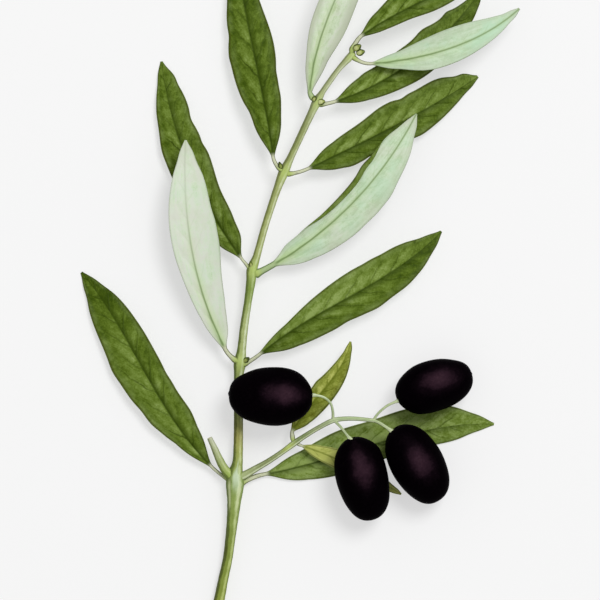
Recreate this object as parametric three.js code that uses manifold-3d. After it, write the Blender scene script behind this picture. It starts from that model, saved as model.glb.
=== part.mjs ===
// An olive twig with four ripe fruit, cut from the tree and laid down on a table.
// Millimetres, +Z up. The twig's length lies along +Y. Places are measured from the fork, where the
// fruit stalk leaves the stem; the finished group is then moved so that the origin lies on the table
// under the middle of the twig.

import * as THREE from 'three';
import { LoftGeometry } from 'three/addons/geometries/LoftGeometry.js';
import { mergeVertices } from 'three/addons/utils/BufferGeometryUtils.js';
import Module from 'manifold-3d';

const wasm = await Module();
wasm.setup();

// ---------------------------------------------------------------- driving dimensions

const FORK = [-18.3, -54.2, 0];     // where the fork lies, from the point under the middle of the twig
const GAP = 0.3;                    // air between two pieces that meet
const STEM_SIDES = 12;
const STEM_STEP = 2;                // distance between the rings of the main stem
const STALK_SIDES = 8;
const STALK_STEP = 1.4;             // distance between the rings of the thin stalks
const CUT_SLANT = 0.45;             // slope of the cut across the foot of the stem
const LEAF_SIDES = 8;               // points round a leaf's section
const LEAF_STEPS = 14;              // sections along a blade
const LEAF_STALK_STEPS = 4;         // sections along a leaf's own stalk
const BLADE_THICKNESS = 0.5;
const TIP_HALF_WIDTH = 0.15;
const BUD_SIDES = 10;

// The main stem's middle line and radius, [x, y, z, radius], from the cut foot to the end of the shoot.
// It is thickest at the fork and swells where leaves leave it.
const MAIN_STEM = [
  [-6.7, -46.2, 1.5, 1.5],
  [-4.3, -35.0, 1.7, 1.5],
  [-3.2, -29.4, 2.0, 1.4],
  [-2.5, -23.8, 2.2, 1.3],
  [-1.5, -18.6, 2.5, 1.35],
  [-0.6, -12.6, 2.8, 1.5],
  [-0.1, -7.0, 3.0, 1.9],
  [-0.1, -2.8, 3.1, 2.4],
  [0.1, 0.2, 3.1, 2.1],
  [0.7, 3.2, 3.2, 1.5],
  [1.0, 7.0, 3.2, 1.3],
  [1.1, 16.8, 3.4, 1.25],
  [1.2, 28.4, 3.6, 1.35],
  [1.6, 31.4, 3.7, 1.6],
  [2.1, 34.6, 3.8, 1.15],
  [3.9, 49.0, 4.2, 1.15],
  [4.6, 54.6, 4.5, 1.2],
  [4.9, 57.6, 4.6, 1.4],
  [6.2, 61.0, 4.8, 1.15],
  [8.5, 68.6, 5.1, 1.1],
  [9.9, 73.4, 5.4, 1.0],
  [12.2, 81.0, 5.8, 1.1],
  [13.6, 85.0, 6.0, 1.35],
  [15.3, 88.4, 6.2, 1.0],
  [19.0, 96.6, 6.7, 0.9],
  [21.6, 102.2, 7.0, 0.95],
  [22.7, 104.6, 7.2, 1.2],
  [23.9, 107.6, 7.4, 0.75],
  [29.1, 114.6, 7.8, 0.7],
  [32.4, 118.2, 8.0, 1.0],
  [33.2, 119.2, 8.1, 0.8],
];

const SIDE_TWIG_STUB = [
  [-0.8, -0.8, 3.6, 1.3],
  [-3.2, 2.5, 4.2, 1.1],
  [-4.6, 5.2, 4.7, 0.9],
  [-6.0, 7.8, 5.1, 0.75],
  [-7.4, 10.6, 5.4, 0.6],
];

const FRUIT_STALK = [
  [0.8, -0.8, 3.1, 1.1],
  [2.8, 0.4, 3.3, 1.0],
  [5.9, 2.2, 3.7, 0.95],
  [9.8, 4.5, 4.2, 0.85],
  [16.8, 9.4, 5.0, 0.75],
  [23.8, 13.7, 5.8, 0.65],
  [27.7, 15.5, 6.4, 0.65],
  [30.8, 16.0, 7.0, 0.6],
  [34.2, 15.9, 7.4, 0.6],
  [39.1, 15.4, 7.6, 0.55],
];

// The thin stalks that carry the olives. Each starts in the fruit stalk and ends in its olive.
const OLIVE_STALKS = [
  [[27.6, 15.4, 6.4, 0.5], [27.4, 17.9, 7.8, 0.42], [26.7, 20.2, 9.2, 0.4], [24.9, 21.7, 10.2, 0.4],
    [22.8, 22.3, 10.5, 0.42], [20.6, 22.3, 10.4, 0.45]],
  [[27.9, 15.4, 6.5, 0.5], [30.0, 13.2, 8.6, 0.4], [31.6, 11.2, 10.6, 0.4], [32.9, 9.4, 11.6, 0.45],
    [33.6, 7.4, 11.4, 0.45]],
  [[38.7, 15.4, 7.6, 0.5], [39.9, 15.0, 7.9, 0.42], [42.3, 13.6, 9.2, 0.4], [44.3, 12.1, 10.2, 0.42],
    [46.4, 10.4, 10.0, 0.45]],
  [[38.9, 15.2, 7.6, 0.5], [39.4, 16.2, 7.7, 0.42], [40.6, 17.7, 8.1, 0.4], [42.8, 19.5, 8.6, 0.4],
    [45.4, 20.7, 8.9, 0.42], [47.8, 21.6, 8.6, 0.45]],
];

// half: half the length and half the width. axis: from the stalk to the far end, nearly level.
const OLIVES = {
  olive_left: { centre: [10.1, 22.2, 10.5], axis: [-0.996, 0.087, 0.0], half: [11.8, 8.15] },
  olive_middle: { centre: [35.5, -0.8, 9.5], axis: [0.214, -0.977, -0.2], half: [11.8, 7.4] },
  olive_right: { centre: [50.9, 3.1, 8.2], axis: [0.475, -0.88, -0.17], half: [11.5, 8.1] },
  olive_upper: { centre: [55.9, 24.6, 7.25], axis: [0.946, 0.326, -0.13], half: [11.0, 7.25] },
};

// Leaves. foot: where the leaf's stalk starts, inside the stem. stalk: the stalk's radius at its foot and
// at the blade. midrib: the blade's middle line at its base, a third, two thirds and its tip. left and
// right: half the blade's width on either side of the midrib at each sixth, seen from above and looking
// to the tip. roll: how far the left side is lifted, in degrees, at base and tip. cup: how far the
// margins stand above the midrib at the widest place.
const LEAVES = {
  leaf_lower_left: {
    face: 'upper', foot: [-0.8, -2.0, 1.9], stalk: [0.5, 0.45],
    midrib: [[-6.7, 2.5, 2.6], [-19.9, 19.9, 4.4], [-30.8, 38.9, 3.4], [-43.1, 56.8, 0.1]],
    left: [3.1, 6.2, 7.4, 7.0, 4.9], right: [3.6, 4.9, 5.5, 5.4, 3.9], roll: [-6, -3], cup: -0.6,
  },
  leaf_under_fruit: {
    face: 'upper', foot: [0.6, -2.8, 2.6], stalk: [0.7, 0.5],
    midrib: [[9.0, 0.2, 1.2], [30.2, 5.6, 0.6], [51.2, 11.7, 0.6], [72.9, 14.1, 0.3]],
    left: [4.4, 6.6, 6.7, 6.6, 4.8], right: [3.8, 5.3, 4.7, 4.3, 3.5], roll: [0, 0], cup: -0.4,
  },
  leaf_left_silver: {
    face: 'under', foot: [1.4, 31.2, 3.8], stalk: [0.7, 0.6],
    midrib: [[-3.5, 37.1, 5.0], [-10.0, 54.6, 8.6], [-13.3, 74.0, 10.4], [-13.6, 93.7, 9.0]],
    left: [2.9, 4.1, 5.1, 5.2, 3.4], right: [4.1, 6.3, 7.8, 6.9, 5.0], roll: [8, 4], cup: 0.7,
  },
  leaf_right_lower: {
    face: 'upper', foot: [1.7, 30.4, 3.6], stalk: [0.65, 0.5],
    midrib: [[7.3, 34.0, 4.4], [24.3, 45.4, 6.0], [42.0, 55.6, 5.4], [58.0, 68.3, 3.0]],
    left: [2.6, 4.9, 6.1, 6.1, 4.7], right: [4.8, 6.0, 6.0, 5.6, 3.7], roll: [6, 0], cup: -0.6,
  },
  leaf_left_back: {
    face: 'upper', foot: [4.8, 57.6, 4.6], stalk: [0.45, 0.4],
    midrib: [[1.7, 61.0, 4.4], [-8.8, 78.1, 4.4], [-16.3, 96.6, 3.2], [-20.6, 116.1, 0.1]],
    left: [3.3, 5.1, 5.7, 4.9, 3.2], right: [4.1, 5.2, 6.3, 5.4, 4.2], roll: [-4, -4], cup: -0.6,
  },
  leaf_right_silver: {
    face: 'under', foot: [4.9, 56.3, 4.6], stalk: [1.15, 0.75],
    midrib: [[11.2, 59.3, 5.4], [27.2, 70.6, 8.2], [40.5, 84.7, 9.6], [50.9, 101.1, 8.0]],
    left: [3.2, 3.4, 4.1, 4.6, 3.9], right: [4.8, 6.1, 6.3, 5.6, 3.6], roll: [8, 0], cup: 0.7,
  },
  leaf_upper_left: {
    face: 'upper', foot: [13.4, 85.2, 6.0], stalk: [0.6, 0.5],
    midrib: [[10.8, 89.3, 6.6], [7.2, 110.1, 6.6], [3.0, 130.7, 3.8], [0.3, 151.5, 0.1]],
    left: [4.3, 6.6, 6.8, 5.4, 3.2], right: [3.9, 4.7, 5.5, 4.2, 2.3], roll: [-6, -2], cup: -0.6,
  },
  leaf_right_middle: {
    face: 'upper', foot: [13.8, 84.3, 5.9], stalk: [0.6, 0.5],
    midrib: [[20.9, 85.9, 6.0], [37.2, 93.8, 5.2], [53.0, 102.2, 3.4], [68.3, 111.4, 0.1]],
    left: [4.0, 5.3, 6.4, 6.2, 5.2], right: [4.0, 5.1, 5.4, 4.9, 3.3], roll: [6, 2], cup: -0.6,
  },
  leaf_top_silver: {
    face: 'under', foot: [22.5, 104.7, 7.2], stalk: [0.75, 0.65],
    midrib: [[20.7, 108.9, 8.0], [24.7, 124.7, 10.8], [30.8, 139.9, 11.2], [35.8, 155.4, 9.0]],
    left: [2.5, 3.9, 4.3, 4.2, 3.1], right: [3.4, 5.3, 6.0, 5.4, 3.4], roll: [-6, -2], cup: 0.7,
  },
  leaf_right_upper: {
    face: 'upper', foot: [22.8, 103.9, 7.0], stalk: [0.65, 0.5],
    midrib: [[28.3, 104.6, 6.4], [44.3, 112.0, 5.6], [58.2, 122.9, 3.4], [69.4, 136.4, 0.6]],
    left: [3.9, 4.8, 4.8, 4.2, 2.6], right: [3.2, 4.7, 5.2, 4.3, 2.8], roll: [0, 4], cup: -0.5,
  },
  leaf_tip_silver: {
    face: 'under', foot: [32.4, 118.2, 8.0], stalk: [0.6, 0.45],
    midrib: [[38.6, 115.1, 8.4], [53.3, 117.3, 10.2], [67.4, 122.2, 10.2], [79.7, 130.5, 8.0]],
    left: [2.7, 4.3, 5.2, 4.7, 2.8], right: [2.4, 3.8, 3.8, 2.9, 1.8], roll: [4, 2], cup: 0.6,
  },
  leaf_tip_dark: {
    face: 'upper', foot: [32.6, 118.4, 8.1], stalk: [0.6, 0.5],
    midrib: [[35.6, 122.9, 8.8], [48.0, 130.2, 9.8], [60.8, 136.8, 8.2], [72.8, 144.8, 4.6]],
    left: [3.5, 5.6, 6.4, 5.9, 3.9], right: [2.2, 2.9, 3.7, 3.6, 2.3], roll: [6, 2], cup: -0.5,
  },
  small_leaf_upright: {
    face: 'young', foot: [16.6, 9.4, 5.0], stalk: [0.5, 0.45],
    midrib: [[16.2, 12.3, 4.4], [22.0, 20.3, 3.9], [28.2, 28.0, 4.6], [32.1, 37.0, 5.8]],
    left: [2.0, 2.9, 3.1, 2.6, 1.6], right: [2.2, 2.9, 3.0, 2.7, 2.0], roll: [0, 8], cup: 0.3,
  },
  small_leaf_yellow: {
    face: 'young', foot: [16.9, 9.4, 4.8], stalk: [0.35, 0.3],
    midrib: [[19.0, 8.1, 4.0], [28.6, 4.3, 2.3], [37.9, -0.2, 1.0], [46.8, -5.3, 0.3]],
    left: [1.5, 2.4, 2.8, 2.5, 1.4], right: [2.0, 2.5, 2.8, 2.5, 1.4], roll: [0, 0], cup: -0.2,
  },
};

// Buds, pointed ovals in the angles between leaf and stem. foot and tip are the ends of the oval.
const BUDS = {
  bud_end_left: { foot: [33.2, 119.2, 9.0], tip: [35.0, 120.0, 10.4], radius: 0.8 },
  bud_end_right: { foot: [33.5, 118.3, 7.8], tip: [36.5, 117.6, 8.6], radius: 0.75 },
  bud_fifth_left: { foot: [22.7, 104.8, 7.9], tip: [22.8, 107.0, 9.4], radius: 0.6 },
  bud_fifth_right: { foot: [23.2, 104.8, 7.5], tip: [25.0, 105.3, 8.6], radius: 0.75 },
  bud_fourth: { foot: [13.4, 85.6, 6.4], tip: [12.2, 88.2, 7.6], radius: 0.6 },
  bud_third: { foot: [4.8, 58.0, 5.0], tip: [4.2, 60.6, 6.2], radius: 0.5 },
  bud_second: { foot: [1.8, 31.6, 4.2], tip: [3.6, 33.2, 5.2], radius: 0.7 },
};

const COLOURS = {
  bark: 0x8f9f58,
  stalk: 0xa3b377,
  upper: 0x55732d,
  under: 0xc4d8ba,
  young: 0x97a542,
  olive: 0x0d080c,
  bud: 0x8d9648,
};
const ROUGHNESS = { bark: 0.7, stalk: 0.6, upper: 0.5, under: 0.75, young: 0.55, olive: 0.35, bud: 0.7 };

// ---------------------------------------------------------------- curves and solids

// The value at t, from 0 to 1, of a smooth curve through equally spaced values.
function along(values, t) {
  const last = values.length - 1;
  const start = Math.min(Math.floor(t * last), last - 1);
  const [a, b, c, d] = [-1, 0, 1, 2].map((k) => values[THREE.MathUtils.clamp(start + k, 0, last)]);
  const f = t * last - start;
  return b + f * ((c - a) / 2 + f * (a - 2.5 * b + 2 * c - d / 2 + f * (1.5 * (b - c) + (d - a) / 2)));
}

// The point at t of the cubic through four equally spaced points.
function cubic(points, t) {
  const weights = [
    -(3 * t - 1) * (3 * t - 2) * (t - 1) / 2,
    9 * t * (3 * t - 2) * (t - 1) / 2,
    -9 * t * (3 * t - 1) * (t - 1) / 2,
    t * (3 * t - 1) * (3 * t - 2) / 2,
  ];
  const point = new THREE.Vector3();
  weights.forEach((weight, i) => point.addScaledVector(new THREE.Vector3(...points[i]), weight));
  return point;
}

// A geometry as a manifold solid, and back.
function toSolid(geometry) {
  const bare = new THREE.BufferGeometry().copy(geometry);
  bare.deleteAttribute('normal');
  bare.deleteAttribute('uv');
  const merged = mergeVertices(bare);
  const vertProperties = new Float32Array(merged.attributes.position.array);
  const triVerts = new Uint32Array(merged.index.array);
  return new wasm.Manifold(new wasm.Mesh({ numProp: 3, vertProperties, triVerts }));
}

function toGeometry(solid) {
  const { vertProperties, triVerts } = solid.getMesh();
  const geometry = new THREE.BufferGeometry();
  geometry.setAttribute('position', new THREE.BufferAttribute(new Float32Array(vertProperties), 3));
  geometry.setIndex(new THREE.BufferAttribute(new Uint32Array(triVerts), 1));
  geometry.computeVertexNormals();
  return geometry;
}

// A round stem through [x, y, z, radius] points, every radius larger by extra. slant tilts the cut
// across its first end.
function stem(points, { sides = STALK_SIDES, step = STALK_STEP, extra = 0, slant = 0 } = {}) {
  const curve = new THREE.CatmullRomCurve3(points.map(([x, y, z]) => new THREE.Vector3(x, y, z)));
  const radii = points.map((point) => point[3]);
  const steps = Math.ceil(curve.getLength() / step);
  const { tangents, normals, binormals } = curve.computeFrenetFrames(steps);
  const sections = [];
  for (let i = 0; i <= steps; i += 1) {
    const t = curve.getUtoTmapping(i / steps);
    const centre = curve.getPoint(t);
    const radius = along(radii, t) + extra;
    const lean = i === 0 ? slant : 0;
    const section = [];
    for (let k = 0; k < sides; k += 1) {
      const angle = k / sides * Math.PI * 2;
      const across = Math.cos(angle) * radius;
      section.push(centre.clone()
        .addScaledVector(normals[i], across)
        .addScaledVector(binormals[i], Math.sin(angle) * radius)
        .addScaledVector(tangents[i], across * lean));
    }
    sections.push(section);
  }
  return toSolid(new LoftGeometry(sections, { capStart: true, capEnd: true }));
}

// One section of a leaf: a flat oval across the middle line.
function leafSection(place) {
  const { centre, ahead, left, right, half, slope, cup } = place;
  const widest = Math.max(left, right);
  const section = [];
  for (let k = 0; k < LEAF_SIDES; k += 1) {
    const angle = k / LEAF_SIDES * Math.PI * 2;
    const across = Math.cos(angle) * (Math.cos(angle) > 0 ? left : right);
    const lift = across * slope + cup * (across / widest) ** 2;
    section.push(new THREE.Vector3(
      centre.x - ahead.y * across,
      centre.y + ahead.x * across,
      centre.z + lift + half * Math.sin(angle),
    ));
  }
  return section;
}

// A leaf: its own thin stalk, which widens into the blade.
function leaf({ foot, stalk, midrib, left, right, roll, cup }) {
  const base = cubic(midrib, 0);
  const start = cubic(midrib, 0.01).sub(base).normalize();
  const root = new THREE.Vector3(...foot);
  const bend = base.clone().addScaledVector(start, -base.distanceTo(root) / 2);
  const path = new THREE.QuadraticBezierCurve3(root, bend, base);
  const sections = [];
  for (let i = 0; i < LEAF_STALK_STEPS; i += 1) {
    const t = i / LEAF_STALK_STEPS;
    const radius = THREE.MathUtils.lerp(stalk[0], stalk[1], t);
    const ahead = path.getTangent(t).setZ(0).normalize();
    sections.push(leafSection({
      centre: path.getPoint(t), ahead, left: radius, right: radius, half: radius, slope: 0, cup: 0,
    }));
  }
  const lefts = [stalk[1], ...left, TIP_HALF_WIDTH];
  const rights = [stalk[1], ...right, TIP_HALF_WIDTH];
  const widest = Math.max(...left, ...right);
  for (let i = 0; i <= LEAF_STEPS; i += 1) {
    const t = i / LEAF_STEPS;
    const centre = cubic(midrib, t);
    const ahead = cubic(midrib, t + 0.01).sub(cubic(midrib, t - 0.01)).setZ(0).normalize();
    const onLeft = along(lefts, t);
    const onRight = along(rights, t);
    const thinned = THREE.MathUtils.smoothstep(t, 0, 0.3);
    const half = THREE.MathUtils.lerp(stalk[1], BLADE_THICKNESS / 2, thinned) * (1 - 0.5 * t ** 4);
    const slope = Math.tan(THREE.MathUtils.degToRad(THREE.MathUtils.lerp(roll[0], roll[1], t)));
    sections.push(leafSection({
      centre, ahead, left: onLeft, right: onRight, half, slope: slope * thinned,
      cup: cup * Math.max(onLeft, onRight) / widest,
    }));
  }
  return toSolid(new LoftGeometry(sections, { capStart: true, capEnd: true }));
}

// An olive stands on the axis of its lathe, with its stalk end at the top. It is a little blunter than
// an ellipse, and fullest just below its middle.
function oliveGeometry([halfLength, halfWidth], extra = 0) {
  const rings = 14;
  const profile = [];
  for (let i = 0; i <= rings; i += 1) {
    const angle = i / rings * Math.PI;
    const blunt = Math.sin(angle) ** 0.94;
    const fuller = 1 - 0.035 * Math.cos(angle);
    const radius = i % rings === 0 ? 0 : (halfWidth + extra) * blunt * fuller;
    profile.push(new THREE.Vector2(radius, -(halfLength + extra) * Math.cos(angle)));
  }
  return new THREE.LatheGeometry(profile, 20);
}

// A bud: a pointed oval about its own axis, from foot to tip.
function bud({ foot, tip, radius }) {
  const from = new THREE.Vector3(...foot);
  const to = new THREE.Vector3(...tip);
  const length = from.distanceTo(to);
  const rings = 6;
  const profile = [];
  for (let i = 0; i <= rings; i += 1) {
    const t = i / rings;
    const size = i % rings === 0 ? 0 : radius * Math.sin(Math.PI * t ** 0.8) ** 0.8;
    profile.push(new THREE.Vector2(size, t * length));
  }
  const geometry = new THREE.LatheGeometry(profile, BUD_SIDES);
  const turn = new THREE.Quaternion().setFromUnitVectors(
    new THREE.Vector3(0, 1, 0),
    to.sub(from).normalize(),
  );
  return toSolid(geometry.applyQuaternion(turn).translate(...foot));
}

// ---------------------------------------------------------------- the twig

const twig = new THREE.Group();
twig.position.set(...FORK);

function add(name, geometry, look) {
  const material = new THREE.MeshStandardMaterial({
    color: COLOURS[look],
    roughness: ROUGHNESS[look],
    metalness: 0,
  });
  const mesh = new THREE.Mesh(geometry, material);
  mesh.name = name;
  twig.add(mesh);
  return mesh;
}

const stemForm = { sides: STEM_SIDES, step: STEM_STEP, slant: CUT_SLANT };
add('main_stem', toGeometry(stem(MAIN_STEM, stemForm)), 'bark');
const roundStem = stem(MAIN_STEM, { ...stemForm, extra: GAP });

// The olives stay whole; what carries them stops just short of them.
let roundOlives = null;
for (const [name, { centre, axis, half }] of Object.entries(OLIVES)) {
  const olive = add(name, oliveGeometry(half), 'olive');
  olive.position.set(...centre);
  olive.quaternion.setFromUnitVectors(
    new THREE.Vector3(0, -1, 0),
    new THREE.Vector3(...axis).normalize(),
  );
  olive.updateMatrix();
  const round = toSolid(oliveGeometry(half, GAP).applyMatrix4(olive.matrix));
  roundOlives = roundOlives ? roundOlives.add(round) : round;
}

function fruitStalk(extra) {
  const shoots = [FRUIT_STALK, ...OLIVE_STALKS].map((points) => stem(points, { extra }));
  return shoots.reduce((whole, shoot) => whole.add(shoot));
}
add('fruit_stalk', toGeometry(fruitStalk(0).subtract(roundStem).subtract(roundOlives)), 'stalk');
const roundStalk = fruitStalk(GAP);

add('side_twig_stub', toGeometry(stem(SIDE_TWIG_STUB).subtract(roundStem)), 'bark');

for (const [name, form] of Object.entries(LEAVES)) {
  const blade = leaf(form).subtract(name.startsWith('small_leaf') ? roundStalk : roundStem);
  add(name, toGeometry(blade), form.face);
}

for (const [name, form] of Object.entries(BUDS)) {
  add(name, toGeometry(bud(form).subtract(roundStem)), 'bud');
}

export default twig;
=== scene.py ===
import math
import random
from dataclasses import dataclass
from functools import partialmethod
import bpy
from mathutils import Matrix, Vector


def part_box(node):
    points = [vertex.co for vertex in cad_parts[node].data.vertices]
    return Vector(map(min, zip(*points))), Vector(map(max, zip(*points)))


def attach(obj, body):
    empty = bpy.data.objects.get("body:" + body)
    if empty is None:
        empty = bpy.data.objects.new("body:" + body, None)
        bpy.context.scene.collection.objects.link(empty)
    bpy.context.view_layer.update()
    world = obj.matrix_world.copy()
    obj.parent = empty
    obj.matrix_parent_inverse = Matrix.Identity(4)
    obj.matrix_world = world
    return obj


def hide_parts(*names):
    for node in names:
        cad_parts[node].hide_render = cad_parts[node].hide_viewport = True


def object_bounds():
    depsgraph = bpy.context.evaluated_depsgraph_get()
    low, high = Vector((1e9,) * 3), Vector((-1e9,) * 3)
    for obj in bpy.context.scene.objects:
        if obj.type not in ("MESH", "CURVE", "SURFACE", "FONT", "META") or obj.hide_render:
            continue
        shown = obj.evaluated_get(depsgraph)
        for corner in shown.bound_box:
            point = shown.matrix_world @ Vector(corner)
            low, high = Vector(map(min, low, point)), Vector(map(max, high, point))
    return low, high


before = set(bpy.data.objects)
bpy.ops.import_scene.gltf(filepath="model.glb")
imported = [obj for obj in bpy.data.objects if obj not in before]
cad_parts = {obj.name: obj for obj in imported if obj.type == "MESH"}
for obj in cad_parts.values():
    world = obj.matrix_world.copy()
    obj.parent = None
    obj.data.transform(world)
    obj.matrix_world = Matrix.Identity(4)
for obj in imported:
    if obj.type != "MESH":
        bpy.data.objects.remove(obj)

# An olive twig with four ripe fruit, lying on a pale table and seen from straight above.
#
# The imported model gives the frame. Every piece made here stands for one of its nodes: thin leaf blades
# with veins and rolled margins, stems with bark, and olives with their skin. Places are in millimetres
# from the fork, where the fruit stalk leaves the stem, and the olives of the frame say where it lies.

from types import SimpleNamespace

import bpy
import numpy as np
from mathutils import Vector

CAD_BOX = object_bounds()
MM = 0.001

# ---------------- driving dimensions, in millimetres

STEM_SIDES = 36
STEM_STEP = 0.5  # distance between the rings of a stem
STEM_RIDGES = 0.02  # height of the ridges on a stem, as a share of its radius
STUB_RIDGES = 0.03
CUT_SLANT = 0.45  # slope of the cut across the foot of the stem
CUT_RINGS = (0.86, 0.6, 0.3, 0.05)  # radii of the rings on a cut end, where 1 is its rim
PATH_POINTS = 24  # points worked out between two given points of a path
NODE_REACH = 2.4  # how far from a leaf pair the stem looks different
STALK_SIDES = 16
FRUIT_STALK_STEP = 0.3
OLIVE_STALK_STEP = 0.25
STALK_VOXEL = 0.1  # the fruit stalk's branches are joined on a grid this fine
JOINT_REACH = 1.3  # how far from a joint or an olive a stalk looks different
OLIVE_REACH = 7.0
MAPPING_PARTS = 40  # in which the stalk's many points are mapped, to spare memory
STALK_INSIDE = 1.0  # how far a stalk runs on inside its olive
STALK_FLARE = 0.6  # how much it widens there
OLIVE_SIDES, OLIVE_RINGS = 96, 97
BUD_SIDES, BUD_RINGS = 32, 33
OLIVE_DIMPLE = 0.55  # depth of the dimple in which the stalk stands
OLIVE_POINT = 0.25  # height of the small point at the far end
SCALE_STEPS = (0.06, 0.05)  # how far a bud's two pairs of scales stand out, as a share of its radius
LEAF_STEP = 0.42  # distance between the sections of a leaf
LEAF_STALK_ROWS = 14
MEASURING_STEPS = 60  # in which a blade's length is measured
FLAT_COLUMNS = 45  # points across the flat of a blade
CROWDING = 0.25  # how much closer they lie at the midrib
ROLL_COLUMNS = 7  # points round each rolled margin
BLADE_HALF = 0.17  # half the blade's thickness
MIDRIB_DEPTH = 0.16  # how far the midrib is sunk in the upper face
LOBE_HEIGHT = 0.14  # how far the blade swells between two side veins
WAVE_HEIGHT = 0.3  # of the margins' slow waves at the leaf's base
ROLL_RADIUS = 0.32  # of the margin, which is rolled towards the under face
ROLLED = 0.25  # length of margin that is rolled where a leaf's own list says nothing
ROLL_LIMIT = 0.3  # the largest share of half a blade's width that is rolled
WIDE_ROLL_LIMIT = 0.62  # the same for a leaf that has a list of its own
TIP_HALF_WIDTH = 0.12  # also the thickness of the rib at the tip
TIP_FULLNESS = 0.55  # makes the blade wider just before its tip, so that it is no spike
VEIN_SLANT = 1.55  # how far a side vein runs towards the tip for each step outwards
VEIN_CURVE = 0.05  # how it bends more to the tip further out
RIGHT_VEINS = 0.45  # how far the veins on the right stand off those on the left, in spacings
SHOULDER = 0.12  # how much blunter than its widths say a blade starts
CLASP = 0.35  # how much a leaf's stalk widens where it leaves the stem

# Middle line and radius, [x, y, z, radius].
MAIN_STEM = [
    [-6.7, -46.2, 1.5, 1.5], [-4.3, -35.0, 1.7, 1.5], [-3.2, -29.4, 2.0, 1.4], [-2.0, -23.8, 2.2, 1.35],
    [-1.3, -18.6, 2.5, 1.4], [-0.6, -12.6, 2.8, 1.6], [-0.1, -7.0, 3.0, 2.0], [0.1, -2.8, 3.1, 2.55],
    [0.2, 0.2, 3.1, 2.2], [0.8, 3.2, 3.2, 1.5], [1.0, 7.0, 3.2, 1.35], [1.1, 16.8, 3.4, 1.3],
    [1.2, 28.4, 3.6, 1.4], [1.5, 31.4, 3.7, 1.75], [1.9, 34.6, 3.8, 1.3], [2.7, 41.8, 4.0, 1.15],
    [3.8, 49.0, 4.2, 1.1], [4.6, 54.6, 4.5, 1.35], [4.9, 57.6, 4.6, 1.5], [6.1, 61.0, 4.8, 1.1],
    [8.2, 68.6, 5.1, 1.0], [9.7, 73.4, 5.4, 1.0], [12.3, 81.0, 5.8, 1.15], [13.9, 85.0, 6.0, 1.45],
    [15.5, 88.4, 6.2, 1.05], [19.3, 96.5, 6.7, 1.0], [21.9, 102.0, 7.0, 1.1], [23.1, 104.5, 7.2, 1.3],
    [24.6, 107.1, 7.4, 0.85], [26.8, 110.3, 7.6, 0.8], [29.4, 113.8, 7.8, 0.78], [32.7, 117.4, 8.0, 1.05],
    [33.6, 118.6, 8.1, 0.85],
]
SIDE_TWIG_STUB = [
    [-0.8, -0.8, 3.6, 1.3], [-2.8, 1.6, 4.1, 1.25], [-4.3, 4.4, 4.6, 1.1], [-5.6, 7.4, 5.0, 0.92],
    [-7.0, 10.4, 5.4, 0.7],
]
FRUIT_STALK = [
    [0.8, -1.0, 3.1, 1.2], [2.8, -0.1, 3.3, 1.15], [5.9, 1.7, 3.7, 0.95], [9.8, 4.0, 4.2, 0.82],
    [14.2, 7.0, 4.7, 0.78], [16.6, 8.8, 5.0, 0.88], [19.2, 10.6, 5.3, 0.75], [23.8, 13.4, 5.8, 0.7],
    [27.7, 15.3, 6.4, 0.72], [30.8, 15.8, 7.0, 0.65], [34.2, 15.8, 7.4, 0.6], [39.1, 15.3, 7.6, 0.55],
]
# The places on the stem where a pair of leaves leaves it.
NODES = [[1.6, 31.4, 3.7], [5.0, 57.6, 4.6], [13.7, 85.0, 6.0], [22.8, 104.6, 7.2], [32.8, 118.2, 8.0]]


@dataclass
class Olive:
    """An olive's form. Left and right are as seen from its stalk towards its far end."""
    centre: list  # the middle of the frame's olive
    shift: list  # how far the skin's middle lies from that
    axis: list  # the way from the stalk to the far end
    half: list  # half its length and half its width
    left: list  # how much further out the skin lies there at each sixth of the axis
    right: list
    painted_highlight: list  # where its painted highlight is centred, along the axis and to the left of it
    stalk: list  # its own stalk, from the fruit stalk into the olive


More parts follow.
